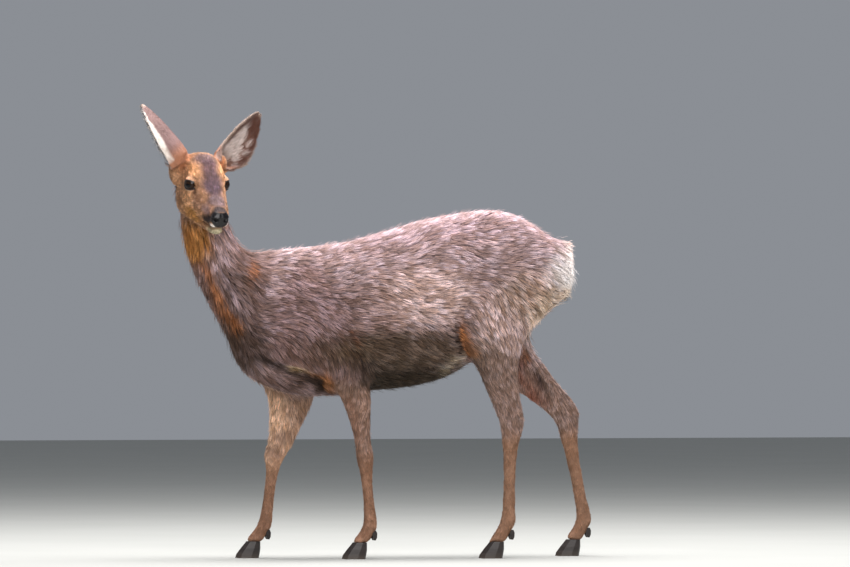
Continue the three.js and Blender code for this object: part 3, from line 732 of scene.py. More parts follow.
#  name               x      y      z      radii                      colour               strength
BODY_MARKS = (
    ("back", 0.08, 0, 0.74, (0.42, 0.11, 0.09), (174, 150, 153), 0.8),
    ("flank", 0.1, -0.11, 0.56, (0.11, 0.08, 0.06), (204, 180, 174), 0.85),
    ("fore flank", -0.02, -0.11, 0.52, (0.065, 0.08, 0.08), (138, 112, 104), 0.6),
    ("thigh back", 0.385, -0.1, 0.52, (0.05, 0.08, 0.06), (214, 194, 168), 0.75),
    ("shoulder", -0.16, -0.11, 0.52, (0.11, 0.08, 0.08), (134, 112, 112), 0.6),
    ("throat", -0.38, -0.03, 0.69, (0.034, 0.05, 0.05), (182, 126, 60), 0.85),
    ("throat grey", -0.335, -0.04, 0.68, (0.026, 0.05, 0.05), (176, 154, 156), 0.7),
    ("neck side", -0.32, -0.06, 0.56, (0.06, 0.06, 0.07), (84, 66, 58), 0.7),
    # painted shade: the lower chest is painted dark brown for the shade it lies in
    ("chest", -0.3, -0.03, 0.45, (0.075, 0.09, 0.065), (64, 48, 36), 0.85),
    ("brisket", -0.18, 0, 0.38, (0.12, 0.085, 0.026), (92, 70, 62), 0.8),
    ("shoulder low", -0.15, -0.1, 0.44, (0.11, 0.07, 0.035), (104, 80, 72), 0.7),
    # painted shade: the low side is painted dark for the shade under the body
    ("side low", 0.06, -0.1, 0.445, (0.2, 0.06, 0.048), (70, 56, 34), 0.85),
    # painted shade: her pale belly is painted near black-brown for the shade beneath her
    ("belly", 0.06, 0, 0.392, (0.22, 0.11, 0.046), (40, 32, 15), 0.95),
    ("thigh dark", 0.33, -0.11, 0.56, (0.07, 0.06, 0.05), (146, 124, 104), 0.6),
    ("rump patch", 0.455, 0, 0.612, (0.078, 0.14, 0.05), (253, 251, 249), 0.995),
    ("rump lower tuft", 0.438, 0, 0.566, (0.055, 0.1, 0.028), (248, 228, 208), 0.95),
    ("tail edge", 0.456, 0, 0.66, (0.018, 0.04, 0.03), (246, 232, 218), 0.9),
)
#  name, corners (x, z), width, side (0 both outer faces, 1 left, 2 right), colour, strength
STREAKS = (
    ("neck rufous", ((-0.369, 0.64), (-0.34, 0.565), (-0.318, 0.53), (-0.296, 0.498)),
     0.008, 0, (158, 100, 54), 0.8),
    ("chest rufous", ((-0.313, 0.474), (-0.306, 0.437)), 0.007, 0, (146, 100, 54), 0.6),
    ("neck grey", ((-0.335, 0.64), (-0.312, 0.575), (-0.28, 0.52)), 0.012, 0, (172, 152, 156), 0.6),
    ("withers rufous", ((-0.271, 0.632), (-0.266, 0.606), (-0.276, 0.59)),
     0.008, 0, (168, 108, 66), 0.75),
    ("behind the shoulder", ((-0.058, 0.49), (-0.04, 0.456)), 0.006, 0, (142, 84, 46), 0.7),
    # painted shade: a near-black line in the gap behind the elbow, where shadow falls
    ("gap behind the elbow", ((-0.069, 0.498), (-0.036, 0.448), (-0.029, 0.369)),
     0.0055, 0, (36, 26, 20), 0.85),
    # painted shade: the brisket groove is painted near black for the shade in it
    ("brisket groove", ((-0.252, 0.43), (-0.179, 0.401), (-0.12, 0.38), (-0.098, 0.351)),
     0.009, 0, (32, 23, 16), 0.95),
    ("elbow pale", ((-0.178, 0.414), (-0.14, 0.401)), 0.007, 0, (206, 180, 138), 0.8),
    ("elbow rufous", ((-0.14, 0.401), (-0.108, 0.388), (-0.084, 0.35)),
     0.008, 0, (160, 104, 56), 0.8),
    ("groin pale", ((0.15, 0.414), (0.196, 0.436)), 0.012, 0, (196, 184, 160), 0.6),
    ("flank rufous", ((0.184, 0.52), (0.186, 0.492), (0.2, 0.462), (0.214, 0.44)),
     0.009, 0, (170, 108, 52), 0.85),
    ("flank shade", ((0.172, 0.505), (0.17, 0.478), (0.182, 0.45)), 0.008, 0, (38, 27, 19), 0.9),
    ("thigh rear edge", ((0.398, 0.545), (0.362, 0.5), (0.34, 0.462), (0.328, 0.43)),
     0.011, 0, (214, 194, 180), 0.75),
    ("hind inner dark", ((0.345, 0.44), (0.372, 0.395), (0.404, 0.35)), 0.01, 2, (34, 22, 20), 0.9),
    ("hind inner rust", ((0.33, 0.42), (0.35, 0.37), (0.385, 0.33)),
     0.02, 2, (128, 72, 52), 0.85),
    ("hind inner tawny", ((0.335, 0.452), (0.35, 0.43)), 0.01, 2, (166, 118, 90), 0.7),
    # painted light: the far forearm is painted pale to make up for the shade the trunk casts on it
    ("far forearm", ((-0.19, 0.36), (-0.205, 0.25)), 0.06, 2, (226, 188, 156), 0.9),
    ("foreleg front", ((-0.06, 0.34), (-0.045, 0.24)), 0.012, 1, (120, 84, 64), 0.5),
)


def egg(values, centre, radii, edge=0.55):
    """1 inside an egg-shaped patch, falling softly to 0 outside."""
    return 1 - smooth01(edge, 1.0 + (1 - edge), np.linalg.norm((values - centre) / radii, axis=1))


coat_colour = sum(part[family][:, None] * paint(*GROUND[family]) for family in FAMILIES)


def wave(a, b, c, d):
    """A ripple over the whole skin, as many radians to the metre along X, Z and Y."""
    return np.sin(a * x + b * z + c * y + d)


mottle = (wave(61, 37, 20, 0) + wave(-43, 71, 15, 2) + wave(113, -29, 40, 4) + wave(23, 131, -30, 1)) / 4
height_shade = smooth01(0.42, 0.70, z) * (part["trunk"] + part["thigh"] + part["upper_arm"])
# painted shade: the coat is up to 35 % darker in the folds of the body; painted light: height_shade makes the
# upper trunk, thighs and upper arms up to 10 % lighter
coat_colour = coat_colour * ((1.07 + 0.14 * mottle + 0.10 * height_shade) * (1 - 0.35 * in_fold))[:, None]


def lay(colour, amount):
    global coat_colour
    amount = np.clip(amount, 0, 1)[:, None]
    coat_colour = coat_colour * (1 - amount) + amount * colour


warp = 0.006 * np.stack((wave(140, 90, 60, 0), wave(80, 150, 100, 1), wave(120, -110, 70, 2)), 1)
seen = skin_points + flow * (0.55 * hair_length * off_head * off_ears)[:, None]
both_sides = np.stack((seen[:, 0], -np.abs(seen[:, 1] - middle_y), seen[:, 2]), 1) + warp
for name, *place, radii, colour, strength in BODY_MARKS:
    lay(paint(*colour), strength * egg(both_sides, place, radii) * off_head * off_ears)
broken = np.clip(0.75 + 0.9 * mottle, 0, 1)
for name, line, wide, side, colour, strength in STREAKS:
    on_side = 1.0 if side == 0 else (aside < 0 if side == 1 else aside > 0)
    facing = outer_face if side == 0 else 1.0
    near_line = np.exp(-((line_gap(seen[:, (0, 2)] + warp[:, :2] * 0.6, line) / wide) ** 2) * 1.2)
    lay(paint(*colour), strength * near_line * on_side * facing * broken * off_head * off_ears)
folded = folded_over(local) + warp / MM * 0.25
on_face = np.clip(part["head"] * 1.5, 0, 1) * (1 - 0.6 * ears)
for name, *place, radii, colour, strength in HEAD_MARKS:
    lay(paint(*colour), strength * egg(folded, place, radii) * on_face)

# fine dark and light flecks on the face
flecks = wave(690, 430, 610, 0) * wave(-520, 640, 380, 1)
coat_colour = coat_colour * (1 + 0.30 * flecks * part["head"])[:, None]

# the ears: dark behind, white within, pale on the rim, a dark skin showing on the outer half
behind, within = ears * (1 - ear_inside), ears * ear_inside
streaky = wave(190, 60, 210, 0) * wave(-70, 160, 90, 1)
toward_tip = 0.60 * smooth01(0.40, 0.85, ear_height)
patch = smooth01(-0.10, 0.20, -ear_across * 0.75 + 0.50 * streaky + toward_tip - 0.25) * (ear_side > 0)
brown_band = smooth01(0.54, 0.72, np.maximum(np.abs(ear_across), 1.15 * ear_height - 0.15)) * (ear_side > 0)
strip_edge = 0.12 * smooth01(0.5, 0.9, ear_height) + 0.20 * (1 - smooth01(0.10, 0.50, ear_height))
above_foot = smooth01(0.02, 0.12, ear_height)
white_strip = smooth01(0.66, 0.80, -ear_across - strip_edge) * (ear_side < 0) * above_foot
inner_back = smooth01(0.2, 0.75, -ear_across * ear_side) * smooth01(0.15, 0.4, ear_height)
for colour, amount in (
        ((176, 122, 90), 0.85 * behind * (1 - smooth01(0.05, 0.30, ear_height))),
        ((104, 78, 78), 0.55 * behind * inner_back),
        ((226, 216, 210), 0.95 * within),
        ((112, 70, 52), 0.92 * within * patch),
        ((122, 84, 64), 0.8 * within * (1 - smooth01(0.10, 0.26, ear_height))),
        ((92, 58, 46), 0.90 * within * brown_band * smooth01(0.12, 0.3, ear_height)),
        ((214, 196, 180), 0.55 * ear_rim * smooth01(0.1, 0.25, ear_height)),
        ((240, 234, 226), 0.95 * ears * white_strip)):
    lay(paint(*colour), amount)

# bare skin: the nose, the rims of the lids, the line of the mouth
nose_shape = np.where(local[:, 2] > -32, 21.0, 21.0 - 0.9 * (-32 - local[:, 2]))
nose_pad = smooth01(103.5, 108, local[:, 0]) * part["head"] * (part["head"] > 0.5)
nose_pad = nose_pad * (1 - smooth01(-12.5, -9.5, local[:, 2])) * smooth01(-48.5, -45, local[:, 2])
nose_pad = nose_pad * (1 - smooth01(nose_shape - 2.5, nose_shape + 1.0, np.abs(local[:, 1])))
lid_rim = 1 - smooth01(1.14, 1.26, lid_edge)
lay(paint(214, 168, 136), 0.55 * (1 - smooth01(1.3, 1.9, lid_edge)) * (lid_edge > 1))
lay(paint(9, 7, 10), nose_pad)
lay(paint(18, 12, 12), lid_rim)
lay(paint(10, 7, 9), np.clip(nostril * 1.3, 0, 1) * (nostril > 0.25))
lay(paint(24, 16, 16), 0.9 * mouth)
bare = np.clip(nose_pad + lid_rim + (nostril > 0.3) + 0.8 * mouth, 0, 1)
print(len(HEAD_MARKS + BODY_MARKS + STREAKS), "markings,", int((bare > 0.5).sum()), "points of bare skin")

# %% [markdown]
# ## Small tools for building node trees
# Every finish and the whole coat are node trees. Two short helpers keep them readable: one adds a node
# and fills its sockets, the other does one step of arithmetic and hands on the result.

# %% Node tools
class Tree:
    """A node tree with short ways to add nodes; sockets take values or the outputs of other nodes."""

    def __init__(self, tree):
        self.tree = tree

    def fill(self, socket, value):
        if isinstance(value, bpy.types.NodeSocket):
            self.tree.links.new(value, socket)
        else:
            socket.default_value = value

    def add(self, kind, values=None, **settings):
        node = self.tree.nodes.new(kind)
        for key, value in settings.items():
            setattr(node, key, value)
        for key, value in (values or {}).items():
            live = [i for i in node.inputs if i.enabled]
            socket = live[key] if isinstance(key, int) else next(i for i in live if i.name == key)
            self.fill(socket, value)
        return node

    def out(self, kind, values=None, **settings):
        node = self.add(kind, values, **settings)
        return next(o for o in node.outputs if o.enabled)

    def math(self, operation, *values):
        return self.out("ShaderNodeMath", dict(enumerate(values)), operation=operation)

    def vector(self, operation, *values):
        node = self.add("ShaderNodeVectorMath", dict(enumerate(values)), operation=operation)
        return node.outputs["Value" if operation in ("DOT_PRODUCT", "LENGTH") else "Vector"]

    def scaled(self, vector, factor):
        return self.out("ShaderNodeVectorMath", {"Vector": vector, "Scale": factor}, operation="SCALE")

    def mixed(self, factor, a, b):
        return self.out("ShaderNodeMix", {"Factor": factor, "A": a, "B": b}, data_type="RGBA")

    def random(self, low, high, seed):
        return self.out("FunctionNodeRandomValue", {"Min": low, "Max": high, "Seed": seed}, data_type="FLOAT")

    def noise(self, place, scale, detail):
        values = {"Vector": place, "Scale": scale, "Detail": detail}
        return self.out("ShaderNodeTexNoise", values, noise_dimensions="3D")

    def named(self, name, kind="FLOAT"):
        return self.out("GeometryNodeInputNamedAttribute", {"Name": name}, data_type=kind)

    def arrow(self, name):
        return self.named(name, "FLOAT_VECTOR")

    def store(self, geometry, name, value, kind="FLOAT", domain="POINT"):
        values = {"Geometry": geometry, "Name": name, "Value": value}
        return self.out("GeometryNodeStoreNamedAttribute", values, data_type=kind, domain=domain)

    def product(self, a, b):
        return self.math("MULTIPLY", a, b)


def mesh_object(name, points, faces, material=None):
    mesh = bpy.data.meshes.new(name)
    mesh.from_pydata(np.asarray(points).tolist(), [], np.asarray(faces).tolist())
    mesh.polygons.foreach_set("use_smooth", np.ones(len(mesh.polygons), bool))
    mesh.update()
    ob = bpy.data.objects.new(name, mesh)
    bpy.context.scene.collection.objects.link(ob)
    if material:
        mesh.materials.append(material)
    return ob


def write(mesh, name, values, kind="FLOAT"):
    """Stores one value per point: a number, a direction or a colour."""
    attribute = mesh.attributes.new(name, kind, "POINT")
    if kind == "FLOAT_COLOR":
        values = np.concatenate((values, np.ones((len(values), 1))), 1)
    field = {"FLOAT": "value", "FLOAT_VECTOR": "vector", "FLOAT_COLOR": "color"}[kind]
    attribute.data.foreach_set(field, np.ascontiguousarray(values, np.float32).ravel())


print("node tools ready")

# %% [markdown]
# ## How a hair is coloured
# One hair of her winter coat is dark at the root, pale below the tip and dark at the very tip, and no
# two locks are quite the same; the dark root is also painted shade deep in the coat. A shared group takes
# the colour of the place and adds these bands and chances; the skin uses the same group at the root end as
# painted shade, so gaps in the coat look like depth.

# %% Shader group: hair colour
def new_group(name, inputs, outputs, kind_of_tree="ShaderNodeTree"):
    group = bpy.data.node_groups.new(name, kind_of_tree)
    for way, sockets in (("INPUT", inputs), ("OUTPUT", outputs)):
        for label, kind in sockets:
            group.interface.new_socket(name=label, in_out=way, socket_type="NodeSocket" + kind)
    return group, Tree(group), group.nodes.new("NodeGroupInput"), group.nodes.new("NodeGroupOutput")


hair_group, t, given, result = new_group(
    "hair colour",
    (("Place", "Color"), ("Along", "Float"), ("Chance", "Float"), ("Lock", "Float")),
    (("Color", "Color"),))
# the dark start of the ramp is partly the hair's real dark base and partly painted shade deep in the coat
ramp = t.add("ShaderNodeValToRGB", {0: given.outputs["Along"]})
ramp.color_ramp.elements[0].color = (0.32,) * 3 + (1,)
ramp.color_ramp.elements[1].color = (0.92,) * 3 + (1,)
for stop, level in ((0.30, 0.68), (0.60, 1.08), (0.86, 1.20)):
    ramp.color_ramp.elements.new(stop).color = (level,) * 3 + (1,)
chance = t.math("SUBTRACT", given.outputs["Chance"], 0.5)
lock = t.math("SUBTRACT", given.outputs["Lock"], 0.5)
power = t.math("ADD", t.product(chance, 1.4), t.product(lock, 1.9))
level = t.product(t.math("POWER", 2.0, power), ramp.outputs["Color"])
hue = t.math("MULTIPLY_ADD", t.math("SUBTRACT", lock, chance), 0.9, 0.5)
tint = t.mixed(hue, (1.12, 0.95, 0.80, 1), (0.92, 0.97, 1.08, 1))
lit = t.vector("MULTIPLY", t.scaled(given.outputs["Place"], level), tint)
t.fill(result.inputs["Color"], lit)
print("group made:", hair_group.name)

# %% [markdown]
# ## Fur and skin finishes
# Hair is neither glossy nor chalky: a broad, weak sheen along the coat is enough. The skin below needs
# the same colour and a fine grain, which does the work of the shortest hairs on nose, legs and ears.

# %% Materials for coat and skin
def new_material(name, roughness, specular):
    material = bpy.data.materials.new(name)
    material.use_nodes = True
    tree = Tree(material.node_tree)
    shader = material.node_tree.nodes["Principled BSDF"]
    shader.inputs["Roughness"].default_value = roughness
    shader.inputs["Specular IOR Level"].default_value = specular
    return material, tree, shader


def attribute(tree, name, socket="Fac"):
    return tree.add("ShaderNodeAttribute", attribute_name=name).outputs[socket]


coat_material, t, shader = new_material("coat_hair", 0.58, 0.20)
hair = t.add("ShaderNodeGroup", node_tree=hair_group)
t.fill(hair.inputs["Place"], attribute(t, "coat", "Color"))
for name in ("along", "chance", "lock"):
    t.fill(hair.inputs[name.capitalize()], attribute(t, name))
t.fill(shader.inputs["Base Color"], hair.outputs["Color"])

skin_material, t, shader = new_material("skin", 0.72, 0.42)
where = t.add("ShaderNodeTexCoord").outputs["Object"]
grain = t.noise(where, 900.0, 3.0)
pebble = t.add("ShaderNodeTexVoronoi", {"Vector": where, "Scale": 620.0}).outputs["Distance"]
bare_skin = attribute(t, "bare")
shortness = t.math("MAXIMUM", bare_skin, attribute(t, "short"))
hair = t.add("ShaderNodeGroup", node_tree=hair_group)
t.fill(hair.inputs["Place"], attribute(t, "coat", "Color"))
# painted shade: the skin takes the dark root end of the hair ramp, darkest under the long coat, so it reads
# as shade between the hairs
t.fill(hair.inputs["Along"], t.math("MULTIPLY_ADD", shortness, 0.32, 0.20))
t.fill(hair.inputs["Chance"], t.math("MULTIPLY_ADD", grain, 0.4, 0.3))
hair.inputs["Lock"].default_value = 0.5
t.fill(shader.inputs["Base Color"], hair.outputs["Color"])
t.fill(shader.inputs["Roughness"], t.math("MULTIPLY_ADD", bare_skin, -0.47, 0.75))
furred = t.product(grain, t.math("SUBTRACT", 1.0, bare_skin))
height = t.math("ADD", furred, t.product(pebble, bare_skin))
bump = t.out("ShaderNodeBump", {"Height": height, "Strength": 0.35, "Distance": 0.0008})
t.fill(shader.inputs["Normal"], bump)
print("materials:", coat_material.name, skin_material.name)

# %% [markdown]
# ## The skin becomes an object
# The skin carries the colour of the place. The pieces of the coat carry the rest: the lie of the hair, how
# long and how dense it is, and how far it stands off; the last three are worked out here.

# %% Make the skin
FRINGES = (((0.398, 0.545), (0.340, 0.462), (0.322, 0.380)), ((-0.120, 0.350), (-0.160, 0.260)),
           ((-0.215, 0.370), (-0.205, 0.300)))
FRINGE_WIDE = 0.016

fur_density = np.clip(1 - 1.6 * bare, 0, 1) * (lid_edge > 1.2)
length = hair_length * (1 - 0.62 * smooth01(60, 104, local[:, 0]) * part["head"])
length *= 1 - 0.45 * np.clip(near_eye * 1.4, 0, 1) * part["head"]
length *= 1 + 0.7 * smooth01(-40, -75, local[:, 0]) * part["head"]
length += within * (0.010 * (1 - patch) + 0.002) * (1 - 0.55 * smooth01(0.7, 1.0, ear_height))
rump_hair = egg(both_sides, (0.448, 0.0, 0.600), (0.055, 0.095, 0.075)) * off_head
leg_fringe = sum(np.exp(-((line_gap(skin_points[:, (0, 2)], line) / FRINGE_WIDE) ** 2)) for line in FRINGES)
leg_fringe = np.clip(leg_fringe, 0, 1) * (1 - part["trunk"])
length += 0.012 * rump_hair + 0.006 * leg_fringe
depth = np.maximum(coat_depth * (0.35 + 0.65 * at_hoof) * (1 - 0.6 * in_fold), 0.6 * MM)
length *= 1 - 0.35 * in_fold
depth *= 1 - 0.45 * near_eye * part["head"]
depth += within * 0.004 + ears * spill * (0.003 + 0.002 * (ear_side < 0))
depth += 0.010 * rump_hair + 0.004 * leg_fringe + 0.0015 * smooth01(-40, -75, local[:, 0]) * part["head"]
white_rump = egg(both_sides, (0.455, 0, 0.606), (0.080, 0.150, 0.055)) * off_head
wild = contrast * (1 - 0.45 * rump_hair) * (1 - 0.8 * white_rump) * (1 - 0.5 * within)
wild *= 1 - 0.5 * egg(folded, (101, 0, -61), (19, 20, 9.5)) * part["head"]
skin = mesh_object("skin", skin_points, skin_faces, skin_material)
write(skin.data, "coat", coat_colour, "FLOAT_COLOR")
write(skin.data, "bare", bare)
write(skin.data, "short", smooth01(5.0 * MM, 2.4 * MM, coat_depth))
coat_fields = {"fur_density": fur_density, "hair_length": length, "hair_depth": depth,
               "hair_width": hair_width, "contrast": wild}
print("skin object of", len(skin.data.polygons), "triangles")

# %% [markdown]
# ## Tufts by Geometry Nodes
# Each tuft is a slender closed leaf with a ridge: a root, a broad middle and a tip, six triangles in all.
# Placing, laying and bending well over a hundred thousand by hand is hopeless, so a node tree
# scatters roots over the skin, finds where each tip lands on the skin, lifts it by the coat's depth and
# draws neighbours together into locks. The tip is found on the skin itself, so long hair follows the body.

# %% The tuft and its node tree
TUFT_POINTS = ((0, 0, 0), (-1, 0.42, 0), (1, 0.42, 0), (0, 0.46, 1), (0, 1, 0))  # across, along, raised
TUFT_FACES = ((0, 1, 3), (0, 3, 2), (1, 4, 3), (3, 4, 2), (0, 2, 1), (1, 2, 4))
PATCH = 0.003
OUTWARD_SHARE = 0.62
LIE_SPREAD = 0.24
STRAY_SHARE = 0.955
BOW = 0.62
RIDGE = 0.8
ROOT_SUNK = 0.0004
DRAW_POWER = 1.5
MOST_LOCKS = 60000.0  # to the square metre
PASSING = ("root_at", "out_way", "side_way", "reach", "lift", "half_width", "draw", "root_uv", "across",
           "raised", "fur_density", "hair_length", "hair_depth", "hair_width", "contrast", "stray", "flow",
           "outward")

tuft = mesh_object("tuft", np.zeros((len(TUFT_POINTS), 3)), TUFT_FACES)
for column_number, name in enumerate(("across", "along", "raised")):
    write(tuft.data, name, np.array(TUFT_POINTS, float)[:, column_number])


def coat_tree():
    group, t, source, result = new_group(
        "coat",
        (("Geometry", "Geometry"), ("Tufts per m2", "Float"), ("Least gap", "Float"), ("Lock gap", "Float"),
         ("Lock pull", "Float"), ("Seed", "Int"), ("Skin", "Object"), ("Tuft", "Object"),
         ("Finish", "Material")),
        (("Geometry", "Geometry"),), "GeometryNodeTree")
    given = source.outputs
    host, seed = given["Geometry"], given["Seed"]
    whole_skin = t.add("GeometryNodeObjectInfo", {"Object": given["Skin"]}).outputs["Geometry"]

    def scattered(gap, per_area, share, seed):
        values = {"Mesh": host, "Distance Min": gap, "Density Max": per_area, "Density Factor": share,
                  "Seed": seed}
        node = t.add("GeometryNodeDistributePointsOnFaces", values, distribute_method="POISSON")
        return node.outputs["Points"]

    roots = scattered(given["Least gap"], given["Tufts per m2"], t.named("fur_density"), seed)
    position = t.out("GeometryNodeInputPosition")
    out_way = t.vector("NORMALIZE", t.arrow("outward"))
    lie = t.arrow("flow")
    side = t.vector("NORMALIZE", t.vector("CROSS_PRODUCT", out_way, lie))
    lie = t.vector("NORMALIZE", t.vector("ADD", lie, t.scaled(side, t.random(-LIE_SPREAD, LIE_SPREAD, 11))))
    side = t.vector("NORMALIZE", t.vector("CROSS_PRODUCT", out_way, lie))
    long = t.product(t.named("hair_length"), t.random(0.68, 1.22, 12))
    aim = t.vector("ADD", position, t.scaled(lie, long))
    landing = t.add("GeometryNodeProximity", {"Geometry": whole_skin, "Sample Position": aim},
                    target_element="FACES").outputs["Position"]
    stray = t.math("GREATER_THAN", t.random(0.0, 1.0, 16), STRAY_SHARE)
    standing = t.math("ADD", t.random(0.45, 1.0, 13), t.product(stray, 0.75))
    lift = t.product(t.named("hair_depth"), standing)
    reach = t.vector("ADD", t.vector("SUBTRACT", landing, position), t.scaled(out_way, lift))
    for name, value in (("root_at", position), ("out_way", out_way), ("side_way", side), ("reach", reach)):
        roots = t.store(roots, name, value, "FLOAT_VECTOR")
    chance = t.math("MULTIPLY_ADD", t.random(-0.5, 0.5, 14), t.named("contrast"), 0.5)
    for name, value in (("lift", lift), ("chance", chance), ("stray", stray),
                        ("half_width", t.product(t.named("hair_width"), t.random(0.35, 0.62, 15)))):
        roots = t.store(roots, name, value)

    # locks: every tip is drawn towards the tip of the nearest of a sparser set of roots
    heads = scattered(given["Lock gap"], MOST_LOCKS, 1.0, t.math("ADD", seed, 7))
    head_reach = t.vector("ADD", t.scaled(t.arrow("flow"), t.named("hair_length")),
                          t.scaled(t.arrow("outward"), t.named("hair_depth")))
    heads = t.store(heads, "tip_at", t.vector("ADD", position, head_reach), "FLOAT_VECTOR")
    heads = t.store(heads, "lock_chance", t.random(0.0, 1.0, 21))
    within_reach = t.vector("ADD", position, t.scaled(t.arrow("reach"), 0.35))
    near = t.out("GeometryNodeSampleNearest", {"Geometry": heads, "Sample Position": within_reach},
                 domain="POINT")

    def of_lock(value, kind):
        values = {"Geometry": heads, "Value": value, "Index": near}
        return t.out("GeometryNodeSampleIndex", values, data_type=kind, domain="POINT")

    lock_tip = of_lock(t.arrow("tip_at"), "FLOAT_VECTOR")
    lock_chance = of_lock(t.named("lock_chance"), "FLOAT")
    away = t.vector("SUBTRACT", lock_tip, t.vector("ADD", position, t.arrow("reach")))
    hold = t.math("SUBTRACT", t.random(0.6, 1.0, 22), t.product(t.named("stray"), 0.6))
    pull = t.product(given["Lock pull"], hold)
    roots = t.store(roots, "draw", t.scaled(away, pull), "FLOAT_VECTOR")
    lock_level = t.math("MULTIPLY_ADD", t.math("SUBTRACT", lock_chance, 0.5), t.named("contrast"), 0.5)
    roots = t.store(roots, "lock", lock_level)
    roots = t.store(roots, "root_uv", t.arrow("OFBake"), "FLOAT_VECTOR")
    roots = t.out("GeometryNodeRemoveAttribute", {"Geometry": roots, "Name": "OFBake"})

    tuft_shape = t.add("GeometryNodeObjectInfo", {"Object": given["Tuft"]}).outputs["Geometry"]
    tufts = t.out("GeometryNodeInstanceOnPoints", {"Points": roots, "Instance": tuft_shape})
    tufts = t.out("GeometryNodeRealizeInstances", {"Geometry": tufts})
    along, across, raised = t.named("along"), t.named("across"), t.named("raised")
    out_way, half = t.arrow("out_way"), t.named("half_width")
    bow = t.math("SUBTRACT", t.math("POWER", along, BOW), along)
    ridge = t.product(t.product(raised, half), RIDGE)
    rise = t.math("SUBTRACT", t.math("MULTIPLY_ADD", bow, t.named("lift"), ridge), ROOT_SUNK)
    place = t.arrow("root_at")
    sideways, drawn = t.product(across, half), t.math("POWER", along, DRAW_POWER)
    for way, amount in ((t.arrow("reach"), along), (out_way, rise), (t.arrow("side_way"), sideways),
                        (t.arrow("draw"), drawn)):
        place = t.vector("ADD", place, t.scaled(way, amount))
    tufts = t.out("GeometryNodeSetPosition", {"Geometry": tufts, "Position": place})
    up_patch = t.product(t.math("SUBTRACT", along, 0.5), PATCH)
    in_patch = t.out("ShaderNodeCombineXYZ", {0: t.product(across, PATCH / 2), 1: up_patch})
    tufts = t.store(tufts, "OFBake", t.vector("ADD", t.arrow("root_uv"), in_patch), "FLOAT2", "CORNER")
    own = t.out("GeometryNodeInputNormal")
    turned = t.math("SIGN", t.vector("DOT_PRODUCT", own, out_way))
    outer = t.scaled(out_way, t.product(turned, OUTWARD_SHARE))
    soft = t.vector("NORMALIZE", t.vector("ADD", t.scaled(own, 1 - OUTWARD_SHARE), outer))
    tufts = t.out("GeometryNodeSetMeshNormal", {"Mesh": tufts, "Custom Normal": soft},
                  mode="FREE", domain="FACE")
    for name in PASSING:
        tufts = t.out("GeometryNodeRemoveAttribute", {"Geometry": tufts, "Name": name})
    tufts = t.out("GeometryNodeSetMaterial", {"Geometry": tufts, "Material": given["Finish"]})
    t.fill(result.inputs["Geometry"], tufts)
    return group


coat_group = coat_tree()
print("coat tree of", len(coat_group.nodes), "nodes")

# %% [markdown]
# ## The coat, region by region
# One object for the whole coat would be too heavy to open, so the skin is parted into regions. Each
# part is unwrapped by its own shape, and every tuft takes a small patch of that map at its root's place.

# %% Grow the coat
main_family = np.array(FAMILIES)[shares.argmax(1)]
leg_part = np.isin(main_family, ("gaskin", "hind_cannon", "forearm", "fore_cannon"))
ear_part = np.isin(main_family, ("ear_left", "ear_right"))
neck_part, head_part = main_family == "neck", main_family == "head"
body_part = ~(leg_part | ear_part | neck_part | head_part)
left, fore = aside < 0, x < 0.08
#  name                  where                       tufts/m2  gap(mm)  lock gap  pull
REGIONS = (
    ("coat_head", head_part, 620000, 0.82, 4.0, 0.25),
    ("coat_ears", ear_part, 400000, 1.00, 4.5, 0.30),
    ("coat_neck", neck_part, 290000, 1.22, 9.0, 0.60),
    ("coat_fore_left", body_part & left & fore, 250000, 1.30, 8.5, 0.50),
    ("coat_fore_right", body_part & ~left & fore, 225000, 1.38, 8.5, 0.50),
    ("coat_rear_left", body_part & left & ~fore, 250000, 1.30, 8.5, 0.50),
    ("coat_rear_right", body_part & ~left & ~fore, 215000, 1.38, 8.5, 0.50),
    ("coat_forelegs", leg_part & fore, 310000, 1.12, 6.0, 0.40),
    ("coat_hindlegs", leg_part & ~fore, 290000, 1.14, 6.0, 0.40),
)


def face_areas(points, faces):
    p = points[faces]
    return np.linalg.norm(np.cross(p[:, 1] - p[:, 0], p[:, 2] - p[:, 0]), axis=1) / 2


def host_of(name, faces):
    """The skin of one region as an object of its own, unwrapped and carrying the fields of the coat."""
    used, numbers = np.unique(faces, return_inverse=True)
    host = mesh_object(name + "_host", skin_points[used], numbers.reshape(faces.shape))
    write(host.data, "coat", coat_colour[used], "FLOAT_COLOR")
    write(host.data, "flow", flow[used], "FLOAT_VECTOR")
    write(host.data, "outward", outward[used], "FLOAT_VECTOR")
    for field, values in coat_fields.items():
        write(host.data, field, values[used])
    host.data.uv_layers.new(name="OFBake")
    bpy.context.view_layer.objects.active = host
    bpy.ops.object.select_all(action="DESELECT")
    host.select_set(True)
    bpy.ops.object.mode_set(mode="EDIT")
    bpy.ops.mesh.select_all(action="SELECT")
    bpy.ops.uv.smart_project(angle_limit=math.radians(70), island_margin=0.004)
    bpy.ops.object.mode_set(mode="OBJECT")
    return host


def grown(name, faces, per_area, gap, lock_gap, pull, seed):
    host = host_of(name, faces)
    coat = host.modifiers.new("coat", "NODES")
    coat.node_group = coat_group
    wanted = {"Tufts per m2": float(per_area * (1)), "Least gap": gap * MM,
              "Lock gap": lock_gap * MM, "Lock pull": pull, "Seed": seed,
              "Skin": skin, "Tuft": tuft, "Finish": coat_material}
    for item in coat_group.interface.items_tree:
        if item.in_out == "INPUT" and item.name in wanted:
            coat[item.identifier] = wanted[item.name]
    mesh = bpy.data.meshes.new_from_object(host.evaluated_get(bpy.context.evaluated_depsgraph_get()))
    bpy.data.objects.remove(host)
    mesh.name = name
    piece = bpy.data.objects.new(name, mesh)
    bpy.context.scene.collection.objects.link(piece)
    return piece


